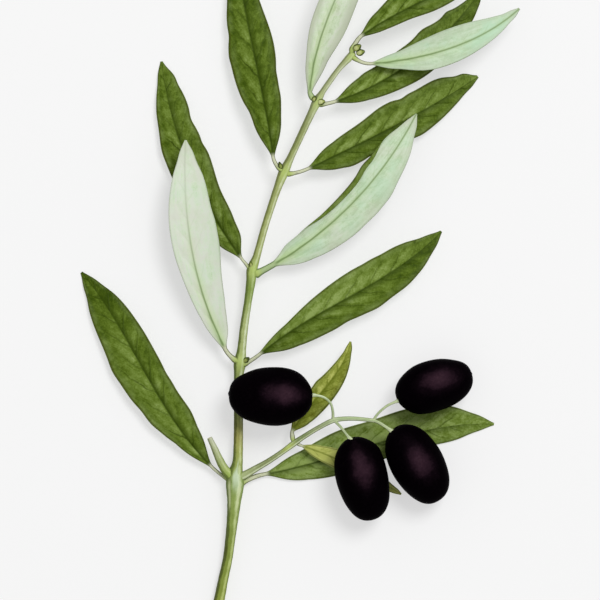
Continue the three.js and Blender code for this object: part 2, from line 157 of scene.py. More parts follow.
OLIVES = {
    "olive_left": Olive(
        centre=[10.1, 22.2, 10.5], shift=[0.1, 0.0, 0.3], axis=[-0.996, 0.06, 0.0], half=[11.8, 8.15],
        left=[0.25, 0.3, 0.1, -0.05, 0.05], right=[0.6, 0.4, -0.05, -0.35, -0.6], painted_highlight=[-4.0, -1.0],
        stalk=[[27.6, 15.4, 6.4, 0.46], [27.5, 18.0, 7.8, 0.39], [26.8, 20.3, 9.2, 0.37],
               [25.1, 21.8, 10.2, 0.37], [22.9, 22.4, 10.5, 0.39], [20.6, 22.4, 10.4, 0.42]]),
    "olive_middle": Olive(
        centre=[35.5, -0.8, 9.5], shift=[0.25, -0.1, 0.0], axis=[0.24, -0.971, -0.2], half=[12.1, 7.45],
        left=[0.75, 0.2, -0.2, -0.35, -0.1], right=[0.2, 0.0, -0.25, -0.4, -0.35], painted_highlight=[-4.6, 0.8],
        stalk=[[27.9, 15.4, 6.5, 0.46], [30.0, 13.2, 8.6, 0.37], [31.6, 11.2, 10.6, 0.37],
               [32.9, 9.4, 11.6, 0.42], [33.6, 7.4, 11.4, 0.42]]),
    "olive_right": Olive(
        centre=[50.9, 3.1, 8.2], shift=[0.15, 0.05, 0.0], axis=[0.5, -0.86, -0.17], half=[12.1, 7.65],
        left=[0.25, 0.0, -0.1, -0.2, -0.1], right=[-0.1, -0.25, -0.4, -0.55, -0.45], painted_highlight=[-1.8, 1.2],
        stalk=[[38.7, 15.4, 7.6, 0.46], [39.9, 15.0, 7.9, 0.46], [42.3, 13.6, 9.2, 0.46],
               [44.3, 12.1, 10.2, 0.46], [46.4, 10.4, 10.0, 0.46]]),
    "olive_upper": Olive(
        centre=[55.9, 24.6, 7.25], shift=[-0.05, 0.55, 0.0], axis=[0.95, 0.295, -0.13], half=[11.2, 7.2],
        left=[0.0, 0.15, -0.05, -0.25, -0.45], right=[0.6, 0.3, 0.0, 0.0, 0.0], painted_highlight=[1.0, 1.4],
        stalk=[[38.9, 15.2, 7.6, 0.46], [39.4, 16.2, 7.7, 0.39], [40.6, 17.7, 8.1, 0.37],
               [42.8, 19.5, 8.6, 0.37], [45.4, 20.7, 8.9, 0.39], [47.8, 21.6, 8.6, 0.42]]),
}

# Buds, pointed ovals in the angles between leaf and stem: foot, tip, radius and how dark they are.
BUDS = {
    "bud_end_left": ([33.4, 118.9, 9.2], [35.4, 120.2, 10.4], 1.0, 0.1),
    "bud_end_right": ([34.1, 117.9, 8.6], [36.5, 118.5, 9.6], 0.95, 0.0),
    "bud_fifth_left": ([22.0, 104.6, 8.3], [22.8, 106.1, 9.2], 0.65, 0.5),
    "bud_fifth_right": ([23.4, 104.2, 7.9], [25.4, 104.6, 8.8], 0.85, -0.4),
    "bud_fourth": ([13.2, 85.6, 6.9], [12.5, 87.7, 7.8], 0.62, 1.0),
    "bud_third": ([4.8, 58.0, 5.4], [4.4, 60.0, 6.4], 0.5, 0.5),
    "bud_second": ([2.2, 31.4, 4.2], [4.2, 32.9, 5.0], 0.85, 1.0),
}


@dataclass
class Leaf:
    """A leaf's form. Left and right are as seen from its base towards its tip."""
    look: str  # what lies up: a green or a young upper face, or a silver under face
    foot: list  # where its stalk starts, in the stem
    stalk: list  # the stalk's radius there and at the blade
    midrib: list  # the blade's middle line at its base, a third, two thirds and its tip
    left: list  # half the blade's width at each sixth
    right: list
    veins: float  # distance between side veins
    tones: list  # its shades, as leaf_upper and leaf_under say
    roll: tuple = (0, 0)  # how far its left side is lifted, in degrees, at base and tip
    cup: float = -0.6  # how far its margins stand above the midrib
    left_bumps: tuple = ()  # where a margin swells: [place from 0 to 1, spread, height]
    right_bumps: tuple = ()
    rolled: tuple = ()  # length of left margin that is rolled over, at each sixth with both ends
    bend: float = 0.5  # how far from the blade its stalk bends, as a share of the stalk


LEAVES = {
    "leaf_lower_left": Leaf(
        "green", foot=[-0.8, -2.0, 1.9], stalk=[0.5, 0.45], roll=(-6, -3), veins=7.6,
        midrib=[[-6.7, 2.5, 2.6], [-19.9, 19.9, 4.4], [-30.8, 38.9, 3.4], [-43.1, 56.8, 0.1]],
        left=[3.4, 6.4, 7.6, 7.0, 5.0], right=[4.3, 5.4, 5.3, 5.2, 3.9], tones=[0.6, 0.47, -0.34],
        left_bumps=([0.21, 0.04, 0.2], [0.28, 0.04, 0.25], [0.36, 0.04, -0.25], [0.56, 0.05, 0.4]),
        right_bumps=([0.24, 0.05, 0.3], [0.36, 0.05, -0.3], [0.44, 0.04, -0.3])),
    "leaf_under_fruit": Leaf(
        "green", foot=[0.6, -3.1, 2.6], stalk=[0.9, 0.55], cup=-0.4, veins=7.0,
        midrib=[[9.0, 0.2, 1.2], [30.2, 5.6, 0.6], [51.2, 11.7, 0.6], [72.9, 14.1, 0.3]],
        left=[4.2, 6.6, 6.7, 7.1, 5.4], right=[4.1, 5.4, 4.7, 4.4, 3.9], tones=[0.92, 0.82, -0.15],
        left_bumps=([0.78, 0.05, 0.2],)),
    "leaf_left_silver": Leaf(
        "silver", foot=[1.3, 31.5, 4.9], stalk=[0.7, 0.6], roll=(8, 4), cup=0.7, veins=7.4,
        midrib=[[-2.8, 35.6, 4.9], [-10.0, 54.6, 8.6], [-13.3, 74.0, 10.4], [-13.6, 93.7, 9.0]],
        left=[2.7, 4.0, 5.1, 5.0, 3.3], right=[4.7, 6.6, 7.9, 6.9, 5.0], tones=[0.22, 0.25, 0.3, 0.1],
        right_bumps=([0.6, 0.05, 0.2], [0.05, 0.04, 0.5])),
    "leaf_right_lower": Leaf(
        "green", foot=[1.7, 30.5, 4.4], stalk=[0.65, 0.5], roll=(6, 0), veins=7.4,
        midrib=[[7.3, 34.0, 4.4], [24.3, 45.4, 6.0], [42.0, 55.6, 5.4], [58.0, 68.3, 3.0]],
        left=[2.4, 4.7, 6.1, 6.1, 4.6], right=[4.6, 5.9, 6.2, 5.9, 4.2], tones=[0.74, 0.47, -0.28],
        left_bumps=([0.71, 0.04, -0.15], [0.61, 0.04, -0.15]),
        right_bumps=([0.42, 0.05, -0.4], [0.57, 0.05, 0.4], [0.73, 0.05, 0.2])),
    "leaf_left_back": Leaf(
        "green", foot=[4.8, 57.4, 5.5], stalk=[0.45, 0.4], roll=(-4, -4), veins=7.2,
        midrib=[[1.7, 61.0, 4.4], [-8.8, 78.1, 4.4], [-16.3, 96.6, 3.2], [-20.6, 116.1, 0.1]],
        left=[3.3, 5.1, 5.7, 4.9, 3.2], right=[4.4, 5.2, 6.3, 5.4, 4.4], tones=[0.52, 0.5, -0.02],
        left_bumps=([0.09, 0.06, 0.55], [0.6, 0.06, 0.35], [0.77, 0.04, 0.1]),
        right_bumps=([0.57, 0.03, -0.3], [0.7, 0.04, -0.4], [0.92, 0.04, 0.6], [0.07, 0.05, 0.6])),
    "leaf_right_silver": Leaf(
        "silver", foot=[5.1, 55.9, 4.5], stalk=[1.0, 0.85], roll=(8, 0), cup=0.7, veins=7.0,
        midrib=[[11.2, 59.1, 5.4], [27.2, 70.6, 8.2], [40.5, 84.7, 9.6], [50.9, 101.1, 8.0]],
        left=[3.2, 3.5, 3.9, 4.4, 3.9], right=[4.7, 6.5, 7.0, 5.8, 3.9], tones=[0.8, 0.74, 0.6, 0.34],
        left_bumps=([0.09, 0.04, 0.3], [0.64, 0.05, 0.45]),
        right_bumps=([0.62, 0.05, 0.35], [0.45, 0.05, -0.25]),
        rolled=(0.25, 0.35, 1.5, 2.0, 1.95, 0.4, 0.25)),
    "leaf_upper_left": Leaf(
        "green", foot=[13.7, 85.0, 6.9], stalk=[0.6, 0.5], roll=(-6, -2), veins=8.2,
        midrib=[[10.8, 89.3, 6.6], [7.2, 110.1, 6.6], [3.0, 130.7, 3.8], [0.3, 151.5, 0.1]],
        left=[4.2, 6.6, 6.8, 5.2, 3.0], right=[3.9, 5.0, 5.9, 4.6, 2.7], tones=[0.42, 0.36, -0.25],
        left_bumps=([0.21, 0.04, -0.35], [0.47, 0.03, 0.2], [0.56, 0.035, -0.4], [0.65, 0.03, 0.1]),
        right_bumps=([0.37, 0.03, -0.2], [0.25, 0.04, 0.2])),
    "leaf_right_middle": Leaf(
        "green", foot=[14.0, 84.2, 6.3], stalk=[0.6, 0.5], roll=(6, 2), veins=7.4,
        midrib=[[20.9, 85.9, 6.0], [37.2, 93.8, 5.2], [53.0, 102.2, 3.4], [68.4, 111.8, 0.1]],
        left=[3.7, 5.2, 6.6, 6.1, 5.4], right=[4.0, 4.9, 5.3, 5.2, 3.1], tones=[0.58, 0.44, 0.02],
        left_bumps=([0.95, 0.04, 0.8], [0.59, 0.035, -0.5], [0.45, 0.05, 0.1]),
        right_bumps=([0.2, 0.04, 0.25], [0.32, 0.04, -0.5], [0.6, 0.05, 0.3])),
    "leaf_top_silver": Leaf(
        "silver", foot=[22.7, 104.3, 7.9], stalk=[0.75, 0.65], roll=(-6, -2), cup=0.7, veins=6.8,
        midrib=[[21.1, 107.2, 8.0], [25.0, 124.6, 10.8], [31.1, 139.8, 11.2], [36.1, 155.3, 9.0]],
        left=[2.5, 3.9, 4.1, 4.1, 3.1], right=[3.5, 5.7, 6.0, 5.4, 3.4], tones=[0.6, 0.6, 0.0, 0.85],
        bend=0.2),
    "leaf_right_upper": Leaf(
        "green", foot=[23.1, 103.7, 7.4], stalk=[0.65, 0.5], roll=(0, 4), cup=-0.5, veins=6.8,
        midrib=[[28.3, 104.6, 6.4], [44.3, 112.0, 5.6], [58.2, 122.9, 3.4], [69.4, 136.4, 0.6]],
        left=[3.8, 4.7, 4.8, 4.3, 2.7], right=[3.0, 4.5, 5.4, 4.5, 3.2], tones=[0.58, 0.48, -0.12],
        left_bumps=([0.2, 0.04, 0.2], [0.61, 0.06, 0.7], [0.78, 0.035, 0.6]),
        right_bumps=([0.9, 0.06, 0.3],)),
    "leaf_tip_silver": Leaf(
        "silver", foot=[32.4, 117.6, 8.4], stalk=[0.6, 0.45], roll=(4, 2), cup=0.6, veins=6.4,
        midrib=[[38.6, 115.1, 8.4], [53.3, 117.3, 10.2], [67.4, 122.2, 10.2], [79.7, 130.5, 8.0]],
        left=[2.4, 4.3, 5.2, 4.7, 2.7], right=[2.4, 4.2, 4.2, 3.3, 2.0], tones=[0.8, 0.8, 0.9, 0.25]),
    "leaf_tip_dark": Leaf(
        "green", foot=[32.4, 117.6, 8.5], stalk=[0.75, 0.55], roll=(6, 2), cup=-0.5, veins=6.6,
        midrib=[[35.6, 122.9, 8.8], [48.0, 130.2, 9.8], [60.8, 136.8, 8.2], [72.8, 144.8, 4.6]],
        left=[3.4, 5.6, 6.4, 5.9, 3.9], right=[2.3, 3.0, 3.9, 3.7, 2.3], tones=[0.58, 0.5, -0.18],
        left_bumps=([0.3, 0.04, 0.2],), bend=0.3),
    "small_leaf_upright": Leaf(
        "young", foot=[16.6, 8.7, 5.1], stalk=[0.6, 0.5], roll=(0, 8), cup=0.3, veins=5.0,
        midrib=[[16.2, 12.3, 4.4], [22.0, 20.3, 3.9], [28.3, 28.2, 4.6], [32.5, 37.4, 5.8]],
        left=[2.0, 2.7, 2.9, 2.3, 1.4], right=[2.9, 3.7, 3.7, 3.1, 1.8], tones=[0.58, 0.36, 0.2],
        left_bumps=([0.5, 0.05, 0.2],), bend=0.15),
    "small_leaf_yellow": Leaf(
        "young", foot=[16.9, 9.2, 4.8], stalk=[0.45, 0.35], cup=-0.2, veins=5.0,
        midrib=[[19.0, 8.1, 4.0], [28.6, 4.4, 2.3], [37.9, -0.2, 1.0], [46.8, -5.6, 0.3]],
        left=[1.8, 2.8, 3.1, 2.6, 1.3], right=[2.0, 2.5, 2.8, 2.5, 1.8], tones=[1.05, 1.15, 0.6]),
}


def fork_in_frame():
    """The fork's place in millimetres: what brings the olives' centres onto the frame's own olives."""
    shifts = []
    for name, olive in OLIVES.items():
        low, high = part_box(name)
        shifts.append(np.array((low + high) / 2) / MM - olive.centre)
    return np.mean(shifts, axis=0)


FORK = fork_in_frame()

# ---------------- curves


def smoothstep(value, low, high):
    share = np.clip((value - low) / (high - low), 0, 1)
    return share * share * (3 - 2 * share)


def bump(value, place, spread):
    return np.exp(-((value - place) / spread) ** 2)


def along(values, t):
    """The value at each t, from 0 to 1, of a smooth curve through equally spaced values."""
    values = np.asarray(values, float)
    last = len(values) - 1
    start = np.minimum((t * last).astype(int), last - 1)
    a, b, c, d = (values[np.clip(start + k, 0, last)] for k in (-1, 0, 1, 2))
    f = t * last - start
    return b + f * ((c - a) / 2 + f * (a - 2.5 * b + 2 * c - d / 2 + f * (1.5 * (b - c) + (d - a) / 2)))


def cubic(points, t):
    """The points at each t of the cubic through four equally spaced points."""
    t = np.reshape(t, (-1, 1))
    weights = [
        -(3 * t - 1) * (3 * t - 2) * (t - 1) / 2,
        9 * t * (3 * t - 2) * (t - 1) / 2,
        -9 * t * (3 * t - 1) * (t - 1) / 2,
        t * (3 * t - 1) * (3 * t - 2) / 2,
    ]
    return np.concatenate(weights, axis=1) @ np.array(points)


def lengths(points):
    """The length of each step of a path."""
    return np.linalg.norm(np.diff(points[:, :3], axis=0), axis=1)


def smooth_path(points, step):
    """Evenly spaced [x, y, z, radius] rows along the centripetal Catmull-Rom curve through points, and
    how far along it each lies."""
    points = np.asarray(points, float)
    padded = np.vstack([2 * points[0] - points[1], points, 2 * points[-1] - points[-2]])
    rows = []
    for i in range(len(points) - 1):
        p = padded[i:i + 4]
        gaps = np.maximum(lengths(p), 1e-4) ** 0.5
        k = np.concatenate([[0], np.cumsum(gaps)])
        for t in np.linspace(k[1], k[2], PATH_POINTS, endpoint=False):
            a = [(k[j + 1] - t) / gaps[j] * p[j] + (t - k[j]) / gaps[j] * p[j + 1] for j in range(3)]
            b = [((k[j + 2] - t) * a[j] + (t - k[j]) * a[j + 1]) / (k[j + 2] - k[j]) for j in range(2)]
            rows.append((k[2] - t) / gaps[1] * b[0] + (t - k[1]) / gaps[1] * b[1])
    rows = np.vstack([rows, points[-1]])
    length = np.concatenate([[0], np.cumsum(lengths(rows))])
    stations = np.linspace(0, length[-1], max(int(length[-1] / step), 4) + 1)
    return np.stack([np.interp(stations, length, rows[:, k]) for k in range(4)], axis=1), stations


def unit(vectors):
    return vectors / np.linalg.norm(vectors, axis=-1, keepdims=True)


def nearest(points, places):
    """How far each point is from the nearest of the places."""
    return np.linalg.norm(points[:, None, :] - np.array(places), axis=2).min(axis=1)


def left_of(ahead):
    """The level way to the left of each way ahead."""
    return unit(np.cross([0.0, 0.0, 1.0], ahead))


def ring_angles(sides):
    return np.arange(sides) / sides * math.tau


def around(ahead, sides):
    """The ways out at the points of a ring across each way ahead, from its left over its top."""
    left = left_of(ahead)
    up = np.cross(ahead, left)
    angle = ring_angles(sides)[:, None]
    return left[..., None, :] * np.cos(angle) + up[..., None, :] * np.sin(angle)


# ---------------- meshes


def place_object(name, data):
    made = bpy.data.objects.new(name, data)
    bpy.context.scene.collection.objects.link(made)
    return made


def smooth_shading(mesh):
    mesh.polygons.foreach_set("use_smooth", np.ones(len(mesh.polygons), bool))


def mesh_object(node, points, faces, maps, material_index=None):
    """The piece for a node, from points in millimetres from the fork. maps: a pair of values per vertex
    for each UV layer, by which the materials find their way about the piece."""
    mesh = bpy.data.meshes.new(node + "_fine")
    mesh.from_pydata(((points.reshape(-1, 3) + FORK) * MM).tolist(), [], faces)
    for layer, values in maps.items():
        write_map(mesh, layer, values)
    if material_index is not None:
        mesh.polygons.foreach_set("material_index", np.array(material_index, np.int32))
    smooth_shading(mesh)
    mesh.update()
    return place_object(node + "_fine", mesh)


def write_map(mesh, layer, values):
    corners = np.zeros(len(mesh.loops), int)
    mesh.loops.foreach_get("vertex_index", corners)
    uv = mesh.uv_layers.new(name=layer)
    uv.data.foreach_set("uv", values.reshape(-1, 2)[corners].astype(np.float32).ravel())


def ring_faces(rows, sides):
    """Quads between neighbouring closed rings, row by row, and a cap at the foot and at the tip."""
    faces = []
    for first in range(0, (rows - 1) * sides, sides):
        for k in range(sides):
            after = (k + 1) % sides
            faces.append((first + k, first + after, first + sides + after, first + sides + k))
    foot_cap = tuple(range(sides - 1, -1, -1))
    tip_cap = tuple(range((rows - 1) * sides, rows * sides))
    return faces + [foot_cap, tip_cap]


def settle(piece, node, materials):
    """Gives a finished piece its materials, hides the node's own part and hangs the piece under the root
    body.
    """
    for material in materials:
        piece.data.materials.append(material)
    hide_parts(node)
    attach(piece, "root")


# ---------------- leaves


def leaf_columns():
    """For every column from the right margin to the left: its share of the flat half, and how far round
    the rolled margin it lies, from 0 to 1. Columns crowd at the midrib."""
    u = np.linspace(-1, 1, FLAT_COLUMNS)
    flat = np.sign(u) * ((1 + CROWDING) * np.abs(u) ** (1 + CROWDING) - CROWDING * np.abs(u) ** 5)
    share = np.concatenate([-np.ones(ROLL_COLUMNS), flat, np.ones(ROLL_COLUMNS)])
    inwards = np.linspace(1, 0, ROLL_COLUMNS, endpoint=False)
    return share, np.concatenate([inwards, np.zeros(FLAT_COLUMNS), inwards[::-1]])


def stalk_rows(form):
    """The sections of a leaf's stalk, which runs in one bend from the stem to the blade."""
    base = cubic(form.midrib, 0.0)
    start = unit(cubic(form.midrib, 0.01) - base)
    root = np.array(form.foot)
    reach = np.linalg.norm(base - root)
    bend = base - start * reach * form.bend
    t = np.linspace(0, 1, LEAF_STALK_ROWS, endpoint=False)[:, None]
    radius = form.stalk[0] + (form.stalk[1] - form.stalk[0]) * t
    clasp = CLASP * min(reach / 6, 1)
    radius = radius * (1 + clasp * bump(t * reach, 1.2, 1.0)) * (0.4 + 0.6 * smoothstep(t * reach, 0, 1.0))
    return {
        "centre": (1 - t) ** 2 * root + 2 * t * (1 - t) * bend + t ** 2 * base,
        "ahead": 2 * (1 - t) * (bend - root) + 2 * t * (base - bend),
        "left": radius, "right": radius, "thick": radius, "t": 0 * t, "grown": 0 * t,
        "distance": (t - 1) * reach, "reach": t - 1,
    }


def blade_rows(form):
    """The sections of a leaf's blade."""
    length = lengths(cubic(form.midrib, np.linspace(0, 1, MEASURING_STEPS))).sum()
    t = np.linspace(0, 1, int(length / LEAF_STEP) + 1)[:, None]
    station = t + np.where(t < 1 / 6, SHOULDER * np.sin(6 * math.pi * t) / 6, 0)
    halves = []
    for widths, bumps in ((form.left, form.left_bumps), (form.right, form.right_bumps)):
        half = along([form.stalk[1], *widths, TIP_HALF_WIDTH], station)
        half += sum(height * bump(t, place, spread) for place, spread, height in bumps)
        halves.append(half + TIP_FULLNESS * max(widths) / 6 * bump(t, 0.95, 0.045))
    return {
        "centre": cubic(form.midrib, t),
        "ahead": cubic(form.midrib, t + 0.01) - cubic(form.midrib, t - 0.01),
        "left": halves[0], "right": halves[1],
        "thick": form.stalk[1] + (TIP_HALF_WIDTH - form.stalk[1]) * smoothstep(t, 0, 0.3),
        "t": t, "grown": smoothstep(t, 0, 0.07), "distance": t * length, "reach": t,
    }


def leaf_rows(form):
    """The leaf's sections from the foot of its stalk to its tip, as one array for each measure: where
    they lie and run, their half widths and the rib's thickness, how far along the blade they are (t),
    how far they have passed from a stalk into a blade (grown), and how far they are from the blade's
    base in millimetres and as a share, below 0 on the stalk."""
    stalk, blade = stalk_rows(form), blade_rows(form)
    rows = {measure: np.concatenate([stalk[measure], blade[measure]]) for measure in stalk}
    rows["ahead"] = unit(rows["ahead"][:, :2])
    return SimpleNamespace(**rows)


def vein_phase(distance, across, spacing, shift):
    """Whole numbers lie on the side veins, which leave the midrib by turns to the left and right."""
    out = np.abs(across)
    run = distance - VEIN_SLANT * out - VEIN_CURVE * out ** 2
    return run / spacing + np.where(across > 0, 0.0, RIGHT_VEINS) + shift


def rolled_section(form, t, share, turned, half_width):
    """How far out and how high the blade's middle layer runs: flat as far as the start of the roll, then
    round it and back over the blade."""
    rolled = np.where(share > 0, along(form.rolled or [ROLLED] * 7, t), ROLLED)
    room = np.minimum(rolled, (WIDE_ROLL_LIMIT if form.rolled else ROLL_LIMIT) * half_width)
    radius = np.minimum(ROLL_RADIUS, 0.2 * half_width)
    flat_width = half_width - radius * np.sin(np.minimum(room / radius, math.pi / 2))
    path = turned * room
    angle = np.minimum(path / radius, math.pi)
    beyond = np.maximum(path - math.pi * radius, 0)
    out = np.abs(share) * flat_width + radius * np.sin(angle) - beyond
    towards_under = 1 if form.look == "silver" else -1
    return np.sign(share) * out, towards_under * radius * (1 - np.cos(angle))


def blade_relief(form, rows, share, across, phase, waves):
    """How high each point stands above the flat section: tilt, cup, veins, swellings and waves."""
    t = rows.t
    widest = max(*form.left, *form.right)
    slope = np.tan(np.radians(form.roll[0] + (form.roll[1] - form.roll[0]) * t))
    cup = form.cup * np.maximum(rows.left, rows.right) / widest * (across / widest) ** 2
    from_vein = np.abs(phase - np.round(phase)) * 2
    fade = smoothstep(np.abs(share), 0.02, 0.25) * (1 - smoothstep(np.abs(share), 0.6, 0.95))
    lobes = LOBE_HEIGHT * (smoothstep(from_vein, 0, 0.7) - 0.5) * fade * (1 - t ** 3)
    depth = 0.6 * MIDRIB_DEPTH if form.look == "silver" else -MIDRIB_DEPTH
    midrib = depth * bump(across, 0, 0.45) * (1 - t)
    ripple = np.where(share > 0, np.sin(waves[0] * t + waves[1]), np.sin(waves[2] * t + waves[3]))
    rippled = WAVE_HEIGHT * (1 - t) * ripple * (across / widest) ** 2
    return cup + rows.grown * (across * slope + lobes + midrib + rippled)


def blade_faces(form, rows, turned, across, height):
    """The blade's upper and lower side: its middle layer, thickened at right angles, and a rib."""
    t = rows.t
    run, rise = np.gradient(across, axis=1), np.gradient(height, axis=1)
    size = np.maximum(np.hypot(run, rise), 1e-9)
    normal = np.stack([-rise / size, run / size])
    half = BLADE_HALF * np.sqrt(np.clip(1 - turned ** 4, 0.06, 1)) * (1 - 0.5 * t ** 4)
    rib = 1.1 * rows.thick * bump(across, 0, 0.9 * rows.thick + 0.1) * (1 - 0.6 * t)
    over, under = (half + 0.38 * rib, half) if form.look == "silver" else (half, half + rib)
    middle = np.stack([across, height])
    return middle + normal * over, middle - normal * under


def leaf(name, form, materials):
    """A leaf: its thin stalk runs on as the midrib of a blade that is rolled at the margins."""
    rng = random.Random(name)
    rows = leaf_rows(form)
    share, turned = leaf_columns()
    half_width = np.where(share > 0, rows.left, rows.right)
    across, curl = rolled_section(form, rows.t, share, turned, half_width)
    phase = vein_phase(rows.distance, across, form.veins, rng.random())
    waves = [rng.uniform(low, high) for low, high in ((13, 21), (0, math.tau)) * 2]
    height = curl + blade_relief(form, rows, share, across, phase, waves)
    top, bottom = blade_faces(form, rows, turned, across, height)

    # On the stalk the section is a round one, which passes into the blade.
    turn = math.pi * np.linspace(0, 1, len(share))
    out, up = -np.cos(turn) * half_width, np.sin(turn) * rows.thick
    top = (1 - rows.grown) * np.stack([out, up]) + rows.grown * top
    bottom = (1 - rows.grown) * np.stack([out, -up]) + rows.grown * bottom
    section = np.concatenate([top, bottom[:, :, ::-1]], axis=2)
    points = np.repeat(rows.centre[:, None, :], section.shape[2], axis=1)
    level_left = np.stack([-rows.ahead[:, 1], rows.ahead[:, 0]], axis=1)
    points[:, :, :2] += level_left[:, None, :] * section[0][:, :, None]
    points[:, :, 2] += section[1]

    def leaf_map(*pair):
        """The same values on both sides of the leaf."""
        wide = np.stack([np.broadcast_to(values, across.shape) for values in pair], axis=2)
        return np.concatenate([wide, wide[:, ::-1]], axis=1)

    maps = {
        "blade": leaf_map(rows.distance / 10, across / 10),
        "veins": leaf_map(phase, share),
        "reach": leaf_map(rows.reach, turned),
    }
    sides = [0] * len(share) + [1] * len(share)
    faces = ring_faces(len(points), len(sides))
    piece = mesh_object(name, points, faces, maps, sides * (len(points) - 1) + [0, 0])
    settle(piece, name, materials)


# ---------------- stems

# A stem's ridges: their size, how many there are round it, and how fast they wind along it.
RIDGES = [(1.0, 5, 1 / 30), (0.6, 3, -1 / 15), (0.5, 2, 1.9), (0.4, -1, 3.7)]


def tube(points, sides, step, slant=0.0, ridges=0.0, seed="tube", round_tip=False):
    """Rings round a path: their points, the path, and (distance, side) for each point."""
    rng = random.Random(seed)
    path, stations = smooth_path(points, step)
    centre, radius = path[:, :3], path[:, 3]
    if round_tip:
        left = (stations[-1] - stations) / radius[-1]
        radius = radius * np.sqrt(np.clip(1 - np.clip(1 - left, 0, 1) ** 2, 0.004, 1))
    ahead = unit(np.gradient(centre, axis=0))
    angle = ring_angles(sides)
    rough = 0
    for size, round_it, along_it in RIDGES:
        turn = rng.uniform(0, math.tau) + along_it * stations[:, None]
        rough = rough + size * np.sin(round_it * angle + turn)
    reach = radius[:, None] * (1 + ridges * rough)
    rings = centre[:, None, :] + around(ahead, sides) * reach[:, :, None]
    rings[0] += ahead[0] * (np.cos(angle) * radius[0] * slant)[:, None]
    skin = np.stack(np.broadcast_arrays(stations[:, None] / 10, np.cos(angle)), axis=2)
    return rings, path, skin


def stem_marks(path, skin):
    """For each point: centimetres up the stem from the fork, and how near it lies to a leaf pair."""
    centre = path[:, :3]
    at_fork = np.linalg.norm(centre, axis=1).argmin()
    from_fork = skin[:, :, 0] - skin[at_fork, 0, 0]
    near = bump(nearest(centre, NODES), 0, NODE_REACH)
    return np.stack(np.broadcast_arrays(from_fork, near[:, None]), axis=2)


def stem_piece(name, points, materials, ridges, cut, slant=0.0):
    """A stem with bark. The end that is cut, its foot or its tip, shows its wood, and has concentric
    rings by which the wood is drawn from the rim to the middle. The other end is plain."""
    at_foot = cut == "foot"
    rings, path, skin = tube(points, STEM_SIDES, STEM_STEP, slant, ridges, name, round_tip=at_foot)
    rim = rings[0] if at_foot else rings[-1]
    middle = rim.mean(axis=0)
    wood = [
        [middle + (rim - middle) * share for share in CUT_RINGS],
        [np.tile([share, 0.0], (STEM_SIDES, 1)) for share in CUT_RINGS],
        np.zeros((len(CUT_RINGS), STEM_SIDES, 2)),
    ]
    index = [0] * (len(path) - 1) * STEM_SIDES
    wood_index = [1] * len(CUT_RINGS) * STEM_SIDES
    whole = [rings, skin, stem_marks(path, skin)]
    if at_foot:
        rings, skin, marks = (np.concatenate([new[::-1], old]) for new, old in zip(wood, whole))
        index = wood_index + index + [1, 0]
    else:
        rings, skin, marks = (np.concatenate([old, new]) for new, old in zip(wood, whole))
        index = index + wood_index + [0, 1]
    faces = ring_faces(len(rings), STEM_SIDES)
    piece = mesh_object(name, rings, faces, {"skin": skin, "marks": marks}, index)
    settle(piece, name, materials)


def inside_olive(olive, point):
    """How far out a point lies in an olive: 0 at its middle and 1 on its skin."""
    axis = unit(np.array(olive.axis))
    offset = point[:3] - olive.centre - olive.shift
    lengthwise = offset @ axis
    sideways = np.linalg.norm(offset - lengthwise * axis)
    return math.hypot(lengthwise / olive.half[0], sideways / olive.half[1])


def olive_stalk(olive):
    """The rows of an olive's stalk as far as just inside the olive, widened where it enters it."""
    path, _ = smooth_path(olive.stalk, OLIVE_STALK_STEP)
    deepest = 1 - STALK_INSIDE / olive.half[0]
    kept = np.array([row for row in path if inside_olive(olive, row) > deepest])
    kept[:, 3] *= 1 + STALK_FLARE * smoothstep(np.arange(len(kept)), len(kept) - 10, len(kept) - 3)
    return kept


def fruit_stalk(materials):
    """The fruit stalk and the four thin stalks of the olives, grown together."""
    stalks = [olive_stalk(olive) for olive in OLIVES.values()]
    tubes = [tube(FRUIT_STALK, STALK_SIDES, FRUIT_STALK_STEP)]
    tubes += [tube(rows, STALK_SIDES, OLIVE_STALK_STEP) for rows in stalks]
    faces = []
    start = 0
    for rings, path, _ in tubes:
        faces += [tuple(start + k for k in face) for face in ring_faces(len(path), STALK_SIDES)]
        start += len(path) * STALK_SIDES
    piece = mesh_object("fruit_stalk", np.vstack([rings for rings, _, _ in tubes]), faces, {})
    grow_together(piece)
    map_stalk(piece.data, [path for _, path, _ in tubes], [rows[-1, :3] for rows in stalks])
    settle(piece, "fruit_stalk", materials)


def grow_together(piece):
    """Joins the parts of a piece under one skin, with softened joints."""
    remesh = piece.modifiers.new("grown together", "REMESH")
    remesh.mode = "VOXEL"
    remesh.voxel_size = STALK_VOXEL * MM
    soften = piece.modifiers.new("soften", "SMOOTH")
    soften.factor = 0.5
    soften.iterations = 6
    shown = piece.evaluated_get(bpy.context.evaluated_depsgraph_get())
    grown = bpy.data.meshes.new_from_object(shown)
    piece.modifiers.clear()
    piece.data = grown
    smooth_shading(grown)


def map_stalk(mesh, paths, ends):
    """Writes each point's distance from the fork and its side of the stalk, from 1 left to -1 right, and
    how near it lies to an olive and to a joint."""
    points = np.zeros(len(mesh.vertices) * 3)
    mesh.vertices.foreach_get("co", points)
    points = points.reshape(-1, 3) / MM - FORK
    rows = np.vstack(paths)
    left = np.vstack([left_of(unit(np.gradient(path[:, :3], axis=0))) for path in paths])
    own = np.concatenate([
        (np.linalg.norm(part[:, None, :] - rows[None, :, :3], axis=2) / rows[:, 3]).argmin(axis=1)
        for part in np.array_split(points, MAPPING_PARTS)
    ])
    side = ((points - rows[own, :3]) * left[own]).sum(axis=1) / rows[own, 3]
    from_fork = np.linalg.norm(points, axis=1) / 10
    write_map(mesh, "skin", np.stack([from_fork, np.clip(side, -1.2, 1.2)], axis=1))
    near_olive = np.clip(1 - nearest(points, ends) / OLIVE_REACH, 0, 1)
    near_joint = bump(nearest(points, [path[0, :3] for path in paths[1:]]), 0, JOINT_REACH)
    write_map(mesh, "olive", np.stack([near_olive, near_joint], axis=1))


# ---------------- olives and buds


